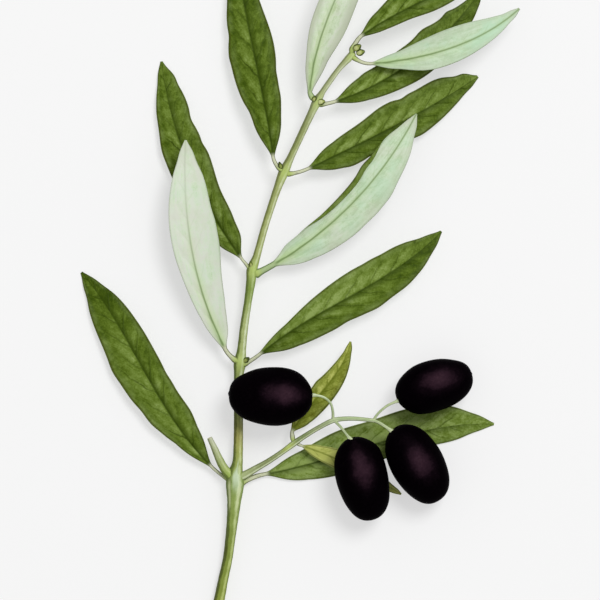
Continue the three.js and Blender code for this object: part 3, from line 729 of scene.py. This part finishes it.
def revolved(origin, axis, distances, radii):
    """Rings about an axis, with a radius for each of their points. Both ends close on the axis."""
    sides = radii.shape[1]
    ahead = unit(np.array(axis))
    rings = origin + ahead * distances[1:-1, None, None] + around(ahead, sides) * radii[1:-1, :, None]
    ends = origin + ahead * distances[[0, -1], None]
    points = np.vstack([rings.reshape(-1, 3), ends])
    faces = ring_faces(len(rings), sides)[:-2]
    foot, tip = len(points) - 2, len(points) - 1
    for k in range(sides):
        after = (k + 1) % sides
        faces.append((foot, after, k))
        faces.append((tip, foot - sides + k, foot - sides + after))
    return points, faces


def ring_map(first, second):
    """A pair per point of revolved rings, from values by ring and by angle."""
    pairs = np.stack([np.repeat(first[1:-1], len(second)), np.tile(second, len(first) - 2)], axis=1)
    return np.vstack([pairs, [first[0], 0.0], [first[-1], 0.0]])


def olive_piece(name, form, materials):
    """A plump, slightly uneven olive with a dimple at its stalk and a small point at its far end."""
    rng = random.Random(name)
    half_length, half_width = form.half
    turn = np.linspace(0, math.pi, OLIVE_RINGS)
    angle = ring_angles(OLIVE_SIDES)
    distances = -half_length * np.cos(turn) + OLIVE_DIMPLE * bump(turn, 0, 0.09)
    distances += OLIVE_POINT * bump(turn, math.pi, 0.05) - 0.1 * bump(turn, math.pi, 0.2)
    radii = half_width * np.clip(np.sin(turn), 0, 1) ** 0.92 * (1 - 0.03 * np.cos(turn))
    lobes = [rng.uniform(0, math.tau) for _ in range(3)]
    uneven = (0.006 * np.sin(2 * angle + lobes[0]) + 0.004 * np.sin(3 * angle + lobes[1] + turn[:, None])
              + 0.003 * np.sin(5 * turn[:, None] + angle + lobes[2]))
    reach = radii[:, None] * (1 + uneven)
    station = (distances / half_length + 1)[:, None] / 2
    for swell, to_side in ((form.left, np.cos(angle)), (form.right, -np.cos(angle))):
        reach += along([0, *swell, 0], station) * np.clip(to_side, 0, 1) ** 2
    origin = np.array(form.centre) + form.shift
    points, faces = revolved(origin, form.axis, distances, reach)
    # Where the painted highlight is centred on the skin.
    lengthwise, leftwards = form.painted_highlight
    from_highlight = angle - math.acos(leftwards / half_width)
    arc = (np.mod(from_highlight + math.pi, math.tau) - math.pi) * half_width / 10
    maps = {"painted_highlight": ring_map((distances - lengthwise) / 10, arc)}
    settle(mesh_object(name, points, faces, maps), name, materials)


def bud_piece(name, foot, tip, radius, materials):
    """A pointed bud wrapped in two pairs of scales."""
    axis = np.array(tip) - foot
    t = np.linspace(0, 1, BUD_RINGS)
    angle = ring_angles(BUD_SIDES)
    size = radius * np.clip(np.sin(math.pi * t ** 0.85), 0, 1) ** 0.55
    first_edge = t[:, None] - 0.42 - 0.2 * np.cos(2 * angle)
    second_edge = t[:, None] - 0.72 + 0.12 * np.cos(2 * angle)
    wrapped = 0.92
    for height, edge in zip(SCALE_STEPS, (first_edge, second_edge)):
        wrapped = wrapped + height * (1 - smoothstep(edge, -0.02, 0.05))
    points, faces = revolved(foot, axis, t * np.linalg.norm(axis), size[:, None] * wrapped)
    piece = mesh_object(name, points, faces, {"scale": ring_map(t, np.sin(angle))})
    settle(piece, name, materials)


# ---------------- nodes


class Value:
    """An output of a node. It counts as a number does, and a | b is the greater of two."""

    def __init__(self, nodes, socket):
        self.nodes = nodes
        self.socket = socket

    def math(self, operation, other=0.0):
        return self.nodes.math(operation, self, other)

    def __rsub__(self, other):
        return self.nodes.math("SUBTRACT", other, self)

    __add__ = __radd__ = partialmethod(math, "ADD")
    __sub__ = partialmethod(math, "SUBTRACT")
    __mul__ = __rmul__ = partialmethod(math, "MULTIPLY")
    __truediv__ = partialmethod(math, "DIVIDE")
    __pow__ = partialmethod(math, "POWER")
    __or__ = partialmethod(math, "MAXIMUM")
    __abs__ = partialmethod(math, "ABSOLUTE")

    def smooth(self, low, high):
        """0 at low, 1 at high, smooth between and level beyond. It falls where low is above high."""
        limits = {"Value": self, "From Min": low, "From Max": high}
        return self.nodes.value("ShaderNodeMapRange", limits, interpolation_type="SMOOTHSTEP")

    def stripe(self, middle, reach):
        """1 at middle, falling smoothly to 0 at reach on either side."""
        return abs(self - middle).smooth(reach, 0.0)


class Nodes:
    """A node tree that is built up node by node."""

    def __init__(self, tree):
        self.tree = tree
        tree.nodes.clear()

    def node(self, kind, inputs, **settings):
        made = self.tree.nodes.new(kind)
        for key, value in settings.items():
            setattr(made, key, value)
        for key, value in inputs.items():
            self.feed(made.inputs[key], value)
        return made

    def feed(self, socket, value):
        if isinstance(value, Value):
            self.tree.links.new(value.socket, socket)
        else:
            socket.default_value = value

    def value(self, kind, inputs, output=0, **settings):
        return Value(self, self.node(kind, inputs, **settings).outputs[output])

    def math(self, operation, a, b):
        return self.value("ShaderNodeMath", {0: a, 1: b}, operation=operation)


def colour(shade):
    """A shade (red, green, blue) as seen on screen, 0 to 255, as the linear values that nodes take."""
    if isinstance(shade, Value):
        return shade
    parts = [part / 255 for part in shade]
    return (*(p / 12.92 if p <= 0.04045 else ((p + 0.055) / 1.055) ** 2.4 for p in parts), 1.0)


class Paint(Nodes):
    """A material, built up layer by layer."""

    def __init__(self, name, specular):
        self.material = bpy.data.materials.new(name)
        self.material.use_nodes = True
        super().__init__(self.material.node_tree)
        self.shader = self.node("ShaderNodeBsdfPrincipled", {"Specular IOR Level": specular})
        self.surface = self.node("ShaderNodeOutputMaterial", {}).inputs["Surface"]
        self.feed(self.surface, Value(self, self.shader.outputs[0]))
        metres = self.value("ShaderNodeTexCoord", {}, "Object")
        self.place = self.value("ShaderNodeVectorMath", {0: metres, "Scale": 1 / MM}, operation="SCALE")

    def mix(self, share, below, above):
        shades = {0: share, 6: colour(below), 7: colour(above)}
        return self.value("ShaderNodeMix", shades, 2, data_type="RGBA")

    def coats(self, shade, coats):
        """Lays thin coats over a shade, each given as how much of it and its shade."""
        for share, above in coats:
            shade = self.mix(share, shade, above)
        return shade

    def ramp(self, value, stops):
        """The shade at a value between stops, each given as its place and its shade."""
        made = self.node("ShaderNodeValToRGB", {0: value})
        elements = made.color_ramp.elements
        while len(elements) < len(stops):
            elements.new(0.5)
        for element, (place, shade) in zip(elements, stops):
            element.position = place
            element.color = colour(shade)
        return Value(self, made.outputs[0])

    def pair(self, layer):
        """The two values of a UV layer."""
        parts = self.node("ShaderNodeSeparateXYZ", {0: self.value("ShaderNodeUVMap", {}, uv_map=layer)})
        return Value(self, parts.outputs[0]), Value(self, parts.outputs[1])

    def vector(self, x, y, z=0.0):
        return self.value("ShaderNodeCombineXYZ", {0: x, 1: y, 2: z})

    def noise(self, scale, detail=3.0, roughness=0.5, at=None):
        """Smooth noise from about -0.5 to 0.5, by place in millimetres where at doesn't say otherwise."""
        inputs = {"Vector": at or self.place, "Scale": scale, "Detail": detail, "Roughness": roughness}
        return self.value("ShaderNodeTexNoise", inputs) - 0.5

    def lot(self, whole, seed):
        """A random number from 0 to 1 for each whole value."""
        return self.value("ShaderNodeTexWhiteNoise", {"W": whole + seed}, noise_dimensions="1D")

    def finish(self, shade, roughness, height=None, depth=0.0):
        """Sets the colour, the roughness and, where given, a bump map depth millimetres deep."""
        self.feed(self.shader.inputs["Base Color"], shade)
        self.feed(self.shader.inputs["Roughness"], roughness)
        if height is not None:
            relief = {"Height": height, "Strength": 1.0, "Distance": depth * MM}
            self.feed(self.shader.inputs["Normal"], self.value("ShaderNodeBump", relief))
        return self.material


# ---------------- materials

# A leaf stalk's shade, and the painted shade at its edges.
THIN_STALK = ((202, 206, 174), (104, 108, 68))  # a leaf's stalk, and its edges
THICK_STALK = ((168, 188, 138), (108, 130, 80))
THICK_STALK_RADIUS = 0.7  # above this a silver leaf's stalk is a thick one
STALK_FOOT = (172, 190, 108)
# Painted shade along a green leaf's margin.
PAINTED_MARGIN_SHADE = (62, 70, 14)
# A leaf's shades from dark to light and the shade of its veins.
UPPER_SHADES = {
    "green": ([(0.0, (50, 70, 2)), (0.25, (71, 91, 15)), (0.5, (91, 112, 33)), (0.75, (112, 133, 56)),
               (1.0, (138, 158, 86))], (48, 66, 2)),
    "young": ([(0.0, (88, 92, 14)), (0.3, (116, 124, 40)), (0.6, (148, 158, 66)),
               (1.0, (188, 194, 104))], (104, 116, 28)),
}
# The under face's shades, from light to dark.
SILVER_SHADES = [
    (0.0, (216, 219, 206)), (0.3, (212, 221, 200)), (0.6, (203, 218, 188)), (0.9, (190, 207, 171)),
    (1.0, (178, 196, 156)),
]
# How far up from the fork the bark's shades reach, in centimetres, and for shares of that its dark, its
# middle and its pale shade.
BARK_REACH = (-5.0, 13.0)
BARK_SHADES = [
    (0.0, (86, 94, 32), (130, 142, 52), (180, 190, 106)),
    (0.17, (82, 93, 38), (122, 138, 60), (174, 188, 118)),
    (0.22, (90, 104, 44), (134, 152, 76), (186, 200, 140)),
    (0.27, (102, 120, 56), (142, 164, 90), (202, 218, 168)),
    (0.31, (98, 110, 48), (154, 164, 86), (198, 208, 148)),
    (0.34, (106, 106, 50), (164, 162, 92), (194, 194, 132)),
    (0.37, (88, 96, 48), (132, 142, 80), (188, 196, 142)),
    (0.43, (84, 98, 44), (136, 150, 82), (210, 220, 178)),
    (0.46, (100, 116, 54), (164, 176, 112), (214, 224, 186)),
    (0.52, (102, 114, 58), (168, 180, 118), (212, 222, 184)),
    (0.57, (100, 118, 52), (124, 146, 66), (160, 180, 110)),
    (0.63, (124, 132, 74), (162, 172, 108), (206, 214, 170)),
    (0.75, (122, 130, 74), (158, 168, 104), (208, 215, 174)),
    (0.84, (120, 128, 80), (144, 154, 98), (186, 194, 150)),
    (0.88, (134, 142, 98), (164, 172, 126), (198, 206, 168)),
    (1.0, (138, 146, 100), (168, 176, 130), (204, 211, 176)),
]
# The same for the broken side twig.
STUB_REACH = (0.0, 1.4)
STUB_SHADES = [
    (0.0, (104, 124, 48), (158, 182, 86), (190, 206, 120)),
    (0.3, (110, 124, 62), (158, 174, 104), (188, 198, 142)),
    (0.9, (140, 146, 112), (182, 188, 154), (204, 208, 184)),
]
# The fruit stalk's middle shade, for shares of 5 cm from the fork.
STALK_SHADES = [
    (0.02, (186, 198, 158)), (0.09, (168, 180, 128)), (0.18, (130, 141, 92)), (0.3, (140, 150, 100)),
    (0.36, (182, 198, 100)), (0.42, (120, 136, 84)), (0.55, (146, 158, 112)), (0.68, (168, 186, 140)),
    (1.0, (166, 184, 132)),
]
# Cut wood, from the middle to the rim.
WOOD_SHADES = [
    (0.0, (150, 120, 80)), (0.16, (214, 200, 158)), (0.72, (222, 212, 172)), (0.84, (168, 180, 110)),
    (0.95, (110, 120, 66)),
]
# Olive skin from black to the wine-brown of its painted highlight and painted reflected light.
OLIVE_SHADES = [(0.0, (3, 1, 3)), (0.25, (14, 7, 12)), (0.6, (43, 27, 36)), (1.0, (68, 47, 56))]
BUD_SHADES = [(0.0, (64, 76, 30)), (0.3, (92, 106, 46)), (0.65, (158, 168, 92)), (1.0, (200, 207, 146))]


class LeafPaint(Paint):
    """The material of a leaf's face, with the places on the leaf that its mesh tells."""

    def __init__(self, name, specular):
        super().__init__(name, specular)
        self.distance, across = self.pair("blade")
        self.phase, self.share = self.pair("veins")
        self.reach, self.turned = self.pair("reach")
        self.out = abs(self.share)
        self.out_mm = abs(across) * 10

    def with_stalk(self, shade, pale, dark):
        """Colours the leaf's own stalk: pale, with a painted shade down each edge, and green at its foot.
        """
        pale = self.mix(self.reach.smooth(-0.45, -0.85), pale, STALK_FOOT)
        stalk_edge_shade = self.out.smooth(0.45, 0.9) | 0.5 * self.noise(1.6).smooth(0.05, 0.3)
        stalk = self.mix(0.95 * stalk_edge_shade, pale, dark)
        return self.mix(self.distance.smooth(0.12, -0.04), shade, stalk)


def leaf_upper(name, tones, stops, vein, seed):
    """The upper face: mottled green with a dark midrib, side veins with a painted highlight on the
    swellings between them, a painted shade beside the midrib on the right, a painted greyish sheen near the
    margin and
    a painted shade line along it. tones: how light the left and the right half are, where the left half is
    mostly the lighter one as painted light, and how much lighter the tip is."""
    paint = LeafPaint(name, specular=0.06)
    share, out, out_mm, reach = paint.share, paint.out, paint.out_mm, paint.reach
    on_left = share.smooth(-0.03, 0.03)
    cloud = paint.noise(0.3 + 0.01 * seed)
    mottle = paint.noise(0.95, 5.0, 0.7)
    grain = paint.noise(2.3, 3.0, 0.7)
    phase = paint.phase + 0.45 * cloud + 0.12 * mottle
    half = seed + 40 * on_left
    lobe = phase.math("FRACT")
    vein_lot = paint.lot(phase.math("ROUND"), half)
    lobe_lot = paint.lot(phase.math("FLOOR"), half + 100)
    # Brush-like streaks that run beside the side veins.
    streaks = paint.noise(1.6, 4.0, 0.65, at=paint.vector(3.8 * phase, 1.6 * out, seed))

    # Painted highlight on the swellings between the side veins.
    lobe_highlight = (lobe.smooth(0.02, 0.3) * lobe.smooth(0.95, 0.35) * out.smooth(0.04, 0.16)
                  * out.smooth(0.75, 0.25) * (0.2 + lobe_lot) * reach.smooth(0.95, 0.4))
    # Painted light: each half's own lightness, where the left half is mostly the lighter one.
    tone = tones[1] + (tones[0] - tones[1]) * on_left
    lightness = (tone + lobe_highlight * (0.15 + 0.45 * tone) + 0.75 * streaks + 0.8 * cloud + 0.8 * mottle
                 + 0.7 * grain - out.stripe(0.7, 0.3) * (0.03 + 0.1 * on_left)
                 + tones[2] * reach.smooth(0.5, 1.0))
    # Painted sheen: a greyish tint near the margins, in patches.
    margin_sheen = 0.22 * out.smooth(0.6, 0.97) * cloud.smooth(-0.2, 0.15)
    # Painted shade beside the midrib on the right half.
    midrib_shadow = (1.0 - on_left) * out_mm.smooth(2.1, 0.3) * reach.smooth(1.0, 0.8)
    side_vein = phase.math("PINGPONG", 0.5).smooth(0.09, 0.0) * out.smooth(0.95, 0.35) * (0.45 + vein_lot)
    thinned = 0.35 + 0.65 * reach.smooth(1.0, 0.6)
    midrib = (out_mm / thinned).smooth(0.45, 0.12) * (0.6 + 0.4 * reach.smooth(1.0, 0.3))
    # Painted shade: a dark line along the margin, where the blade starts to turn over.
    margin = out.smooth(0.9, 0.99) * paint.turned.smooth(0.6, 0.3)
    shade = paint.coats(paint.ramp(lightness, stops), [
        (margin_sheen, (126, 140, 98)),
        (midrib_shadow * min(0.62, 1.2 - 0.85 * tones[1]), vein),
        (side_vein * (0.8 - 0.45 * tones[0]), vein),
        (midrib * (1.15 - 0.4 * tones[0]) * 0.85, vein),
        (margin * (1.0 - 0.4 * tones[0]), PAINTED_MARGIN_SHADE),
    ])
    shade = paint.with_stalk(shade, *THIN_STALK)
    return paint.finish(shade, 0.5 + 0.25 * grain, 0.7 * grain + 0.5 * streaks - side_vein, 0.08)


def leaf_under(name, tones, stalk_shades, seed):
    """The under face: silvery felt with soft streaks, in mint and grey patches, with a thin green
    midrib, greener at the leaf's base, and greyer towards its margins and darker at their edges as painted
    shade. tones: how dark it is on the left and on the right, how minty, and how strong the painted grey
    shade at the margins is."""
    paint = LeafPaint(name, specular=0.08)
    share, out, out_mm, reach = paint.share, paint.out, paint.out_mm, paint.reach
    cloud = paint.noise(0.2 + 0.003 * seed)
    patch = paint.noise(0.12 + 0.004 * seed, 3.0, 0.6)
    mottle = paint.noise(0.9, 4.0, 0.65)
    grain = paint.noise(2.6, 3.0, 0.7)
    streaks = paint.noise(1.5, 4.0, 0.6, at=paint.vector(0.9 * paint.distance, 4.0 * share, seed))
    darkness = (tones[1] + (tones[0] - tones[1]) * share.smooth(-0.1, 0.1)
                + 1.9 * streaks + 0.8 * cloud + 1.2 * mottle + 0.8 * grain)
    minty = tones[2] * (0.4 + 0.5 * patch.smooth(-0.05, 0.16))
    greyish = (0.6 - 0.5 * tones[2]) * patch.smooth(0.0, -0.14)
    side_vein = (paint.phase + 0.4 * cloud).math("PINGPONG", 0.5).smooth(0.07, 0.0) * out.smooth(0.8, 0.2)
    upwards = 0.9 * tones[0]
    midrib = upwards + (0.9 - upwards) * reach.smooth(0.8, 0.1)
    shade = paint.coats(paint.ramp(darkness, SILVER_SHADES), [
        (minty, (184, 216, 186)),
        (greyish, (208, 209, 196)),
        (0.4 * out_mm.smooth(2.4, 0.2) * reach.smooth(0.8, 0.1), (190, 210, 148)),  # beside the midrib
        (0.3 * reach.smooth(0.24, 0.02) * out.smooth(1.1, 0.2), (164, 192, 124)),  # the base
        ((0.08 + 0.28 * tones[0]) * side_vein, (160, 186, 138)),
        # Painted shade: greyer towards the margins, and darker at their very edges.
        (tones[3] * out.smooth(0.45, 0.95), (184, 191, 168)),  # the margins
        (0.3 * out.smooth(0.965, 1.0), (150, 158, 136)),  # their edges
        (0.5 * reach.smooth(0.86, 1.0), (190, 192, 176)),  # the tip
        (0.45 * midrib * out_mm.smooth(0.8, 0.15), (158, 186, 124)),
        (0.85 * midrib * out_mm.smooth(0.32, 0.08), (104, 128, 72)),
    ])
    shade = paint.with_stalk(shade, *stalk_shades)
    return paint.finish(shade, 0.78 + 0.2 * grain, grain + 0.5 * streaks, 0.04)


def fork_highlights_and_scar(side, from_fork, fibres):
    """The coats of the bark at the fork: painted highlights as pale lines down both sides just below it and
    as a pale wedge in it, which narrows upwards, and an old brown leaf scar further down."""
    highlight_lines = side.stripe(0.62, 0.25) | side.stripe(-0.5, 0.3)
    half = 0.08 + 0.3 * from_fork.smooth(0.3, -0.05)
    highlight_wedge = (half - abs(side + 0.12) + 0.4 * fibres).smooth(-0.2, 0.2)
    return [
        (0.7 * highlight_lines * from_fork.smooth(-1.1, -0.7) * from_fork.smooth(0.0, -0.3), (206, 214, 164)),
        (0.75 * highlight_wedge * from_fork.smooth(-0.6, 0.0) * from_fork.smooth(0.55, 0.3), (206, 222, 194)),
        (0.85 * from_fork.stripe(-2.1, 0.26) * side.stripe(0.5, 0.5), (72, 78, 24)),
    ]


def bark(name, shades, reach, at_fork):
    """Smooth green bark with lengthwise stripes of painted light: a painted shade down the left side, a
    painted highlight band right of the middle, a thin painted shade line at both edges, and light
    yellow-green where leaves leave the stem."""
    paint = Paint(name, specular=0.12)
    distance, side = paint.pair("skin")
    from_fork, node = paint.pair("marks")
    wander = side + 0.7 * paint.noise(1.0, 1.0, at=paint.vector(0.6 * distance, 0.0))
    fibres = paint.noise(3.0, 4.0, 0.65, at=paint.vector(1.7 * distance, 2.2 * side))
    grain = paint.noise(3.0, 3.0, 0.65)
    # Painted light across the stem: darker on its left, a highlight band right of the middle, mixed with
    # fibres, grain and cloud.
    lightness = (0.5 - 0.6 * wander.smooth(0.1, 0.75) - 0.12 * wander.stripe(0.0, 0.2)
                 + 0.38 * wander.stripe(-0.52, 0.42) + 0.75 * fibres + 0.4 * grain + 0.6 * paint.noise(0.4))
    up = (from_fork - reach[0]) / (reach[1] - reach[0])
    dark, middle, pale = (paint.ramp(up, [(row[0], row[k]) for row in shades]) for k in (1, 2, 3))
    shade = paint.coats(dark, [
        (lightness.smooth(-0.02, 0.45), middle),
        (lightness.smooth(0.5, 0.95), pale),
        (0.7 * node * lightness.smooth(-0.1, 0.4), (182, 202, 112)),
        *(fork_highlights_and_scar(side, from_fork, fibres) if at_fork else []),
        # Painted shade along both edges.
        (0.45 * (side.smooth(-0.84, -0.98) | side.smooth(0.85, 0.98)), dark),
    ])
    return paint.finish(shade, 0.6 + 0.25 * grain, fibres + 0.5 * grain, 0.08)


def cut_wood():
    """Pale wood with a brown pith and a green rim under the bark."""
    paint = Paint("cut_wood", specular=0.1)
    radius, _ = paint.pair("skin")
    grain = paint.noise(6.0)
    return paint.finish(paint.ramp(radius + 0.12 * grain, WOOD_SHADES), 0.75, grain, 0.06)


def stalk_green():
    """The fruit stalk: green with painted highlight bands along it and a painted shade at both edges, pale
    where it leaves the fork and cream where it enters an olive."""
    paint = Paint("fruit_stalk_green", specular=0.1)
    from_fork, side = paint.pair("skin")
    near, joint = paint.pair("olive")
    grain = paint.noise(2.2, 3.0, 0.65)
    # Painted light: a highlight band right of the middle and a fainter one left of it, with the pale ends,
    # joints, cloud and grain.
    lightness = (0.75 * side.stripe(-0.5, 0.4) + 0.3 * side.stripe(0.45, 0.3) + 0.4 * near.smooth(0.0, 0.8)
                 + 0.3 * joint + 0.8 * paint.noise(0.5) + 0.7 * grain)
    shade = paint.coats(paint.ramp(0.2 * from_fork, STALK_SHADES), [
        (lightness.smooth(0.0, 1.0), (212, 222, 182)),
        (lightness.smooth(-0.05, -0.6), (108, 122, 70)),
        # Painted shade along both edges.
        (0.72 * abs(side).smooth(0.66, 0.95), (100, 110, 62)),
        (0.6 * near.smooth(0.82, 0.9), (206, 214, 170)),
    ])
    return paint.finish(shade, 0.55 + 0.2 * grain, grain, 0.06)


def olive_skin():
    """Ripe skin: black, with a painted wine-brown highlight along its upper side, painted light reflected
    from the table on its under side, and tiny pale dots."""
    paint = Paint("olive_black", specular=0.02)
    paint.shader.inputs["IOR"].default_value = 1.15
    lengthwise, round_it = paint.pair("painted_highlight")
    mottle = paint.noise(1.4, 4.0, 0.6)
    fine = paint.noise(7.0, 2.0)
    away = ((1.05 * lengthwise) ** 2.0 + (1.75 * round_it) ** 2.0) ** 0.5
    # Painted highlight: a soft wine-brown patch on the upper side.
    painted_highlight = (away + 0.5 * paint.noise(0.3)).smooth(1.0, 0.0)
    # Painted light reflected from the table: lighter where the skin faces down.
    facing = paint.node("ShaderNodeSeparateXYZ", {0: paint.value("ShaderNodeTexCoord", {}, "Normal")})
    below = Value(paint, facing.outputs[2]).smooth(0.05, -0.7)
    shade = paint.ramp(0.68 * painted_highlight + 0.35 * mottle + 0.12 * fine + 0.75 * below, OLIVE_SHADES)
    cells = paint.value("ShaderNodeTexVoronoi", {"Vector": paint.place, "Scale": 0.9})
    shade = paint.mix(0.25 * cells.smooth(0.13, 0.06) * painted_highlight, shade, (84, 64, 70))
    return paint.finish(shade, 0.45 + 0.2 * mottle + 0.1 * painted_highlight, mottle + 0.3 * fine, 0.05)


def bud_green(name, dark):
    """Bud scales: lighter yellow-green on top and dark at the sides, as painted light and shade, and dark
    along the scales' edges.
    """
    paint = Paint("bud_green_" + name, specular=0.08)
    length, up = paint.pair("scale")
    grain = paint.noise(4.0)
    # Painted light: lighter where the bud faces up, darker at its sides.
    lightness = (-0.15 - 0.4 * dark + 1.1 * up.smooth(0.45, 0.95) + 0.4 * paint.noise(1.1) + 0.3 * grain
                 - 0.5 * length.smooth(0.6, 0.85) - 0.3 * length.stripe(0.15, 0.2))
    return paint.finish(paint.ramp(lightness, BUD_SHADES), 0.7, grain, 0.08)


# ---------------- the table, the light and the camera

VIEW_CENTRE = Vector((0.0, -5.2, 0.0))  # what the camera looks at, in millimetres in the frame
VIEW_HEIGHT = 6.0  # the level at which the view is VIEW_WIDTH wide
VIEW_WIDTH = 168.0
LENS = 300.0
SENSOR = 36.0
WHITE = (1.0, 1.0, 1.0, 1.0)
PALE = 0.92  # the table's brightness, where 1 is white
TABLE_GLOW = 0.58  # share of the table's brightness that no shadow takes away
SKY_SHADE = (0.8, 0.8, 0.8, 1.0)
SKY = 0.64  # strength of the light that comes evenly from all round
SOFTBOX = Vector((0.9, 1.2, 2.6))  # its place in metres, from where it shines at the middle


def backdrop_rays(nodes):
    """1 for the rays by which the backdrop is seen, directly or in a shiny or clear surface."""
    rays = ("Is Camera Ray", "Is Glossy Ray", "Is Transmission Ray")
    seen, glossy, clear = (nodes.value("ShaderNodeLightPath", {}, ray) for ray in rays)
    return seen | glossy | clear


def table():
    bpy.ops.mesh.primitive_plane_add(size=8.0)
    floor = bpy.context.object
    floor.name = "table"
    floor.location = (0.0, 0.0, CAD_BOX[0].z)
    paint = Paint("table_top", specular=0.0)
    floor.data.materials.append(paint.finish(PALE + 0.01 * PALE * paint.noise(0.9, 2.0), 0.9))
    glow = paint.value("ShaderNodeEmission", {"Color": WHITE, "Strength": PALE})
    lit = Value(paint, paint.shader.outputs[0])
    share = TABLE_GLOW * backdrop_rays(paint)
    paint.feed(paint.surface, paint.value("ShaderNodeMixShader", {0: share, 1: lit, 2: glow}))


def light():
    world = bpy.data.worlds.new("studio")
    bpy.context.scene.world = world
    world.use_nodes = True
    nodes = Nodes(world.node_tree)
    strength = SKY + (PALE - SKY) * backdrop_rays(nodes)
    sky = nodes.value("ShaderNodeBackground", {"Color": SKY_SHADE, "Strength": strength})
    nodes.node("ShaderNodeOutputWorld", {"Surface": sky})
    lamp = bpy.data.lights.new("softbox", "AREA")
    lamp.shape = "DISK"
    lamp.size = 1.3
    lamp.energy = 55.0
    softbox = place_object("softbox", lamp)
    softbox.location = SOFTBOX
    softbox.rotation_euler = SOFTBOX.to_track_quat("Z", "Y").to_euler()
    softbox.visible_camera = False


def camera():
    lens = bpy.data.cameras.new("camera")
    lens.lens = LENS
    lens.sensor_width = SENSOR
    viewer = place_object("camera", lens)
    height = VIEW_HEIGHT + VIEW_WIDTH * LENS / SENSOR
    viewer.location = (VIEW_CENTRE + Vector((0.0, 0.0, height))) * MM
    bpy.context.scene.camera = viewer
    bpy.context.scene.view_settings.view_transform = "Standard"


# ---------------- the twig

camera()
table()
light()

wood = cut_wood()
stem_bark = bark("bark_green", BARK_SHADES, BARK_REACH, at_fork=True)
stub_bark = bark("bark_pale", STUB_SHADES, STUB_REACH, at_fork=False)
stem_piece("main_stem", MAIN_STEM, [stem_bark, wood], STEM_RIDGES, "foot", CUT_SLANT)
stem_piece("side_twig_stub", SIDE_TWIG_STUB, [stub_bark, wood], STUB_RIDGES, "tip")
fruit_stalk([stalk_green()])

skin_of_olives = olive_skin()
for olive_name, olive_form in OLIVES.items():
    olive_piece(olive_name, olive_form, [skin_of_olives])

for bud_name, (*bud_form, bud_dark) in BUDS.items():
    bud_piece(bud_name, *bud_form, [bud_green(bud_name, bud_dark)])

plain_under = leaf_under("leaf_silver_below", (0.4, 0.4, 0.3, 0.5), THIN_STALK, 0.0)
plain_upper = leaf_upper("leaf_green_below", (0.6, 0.55, -0.18), *UPPER_SHADES["green"], 0.0)
for number, (leaf_name, form) in enumerate(LEAVES.items(), start=1):
    paint_name = form.look + "_" + leaf_name
    if form.look == "silver":
        stalk_shades = THICK_STALK if form.stalk[0] > THICK_STALK_RADIUS else THIN_STALK
        upward, downward = leaf_under(paint_name, form.tones, stalk_shades, number), plain_upper
    else:
        upward, downward = leaf_upper(paint_name, form.tones, *UPPER_SHADES[form.look], number), plain_under
    leaf(leaf_name, form, [upward, downward])
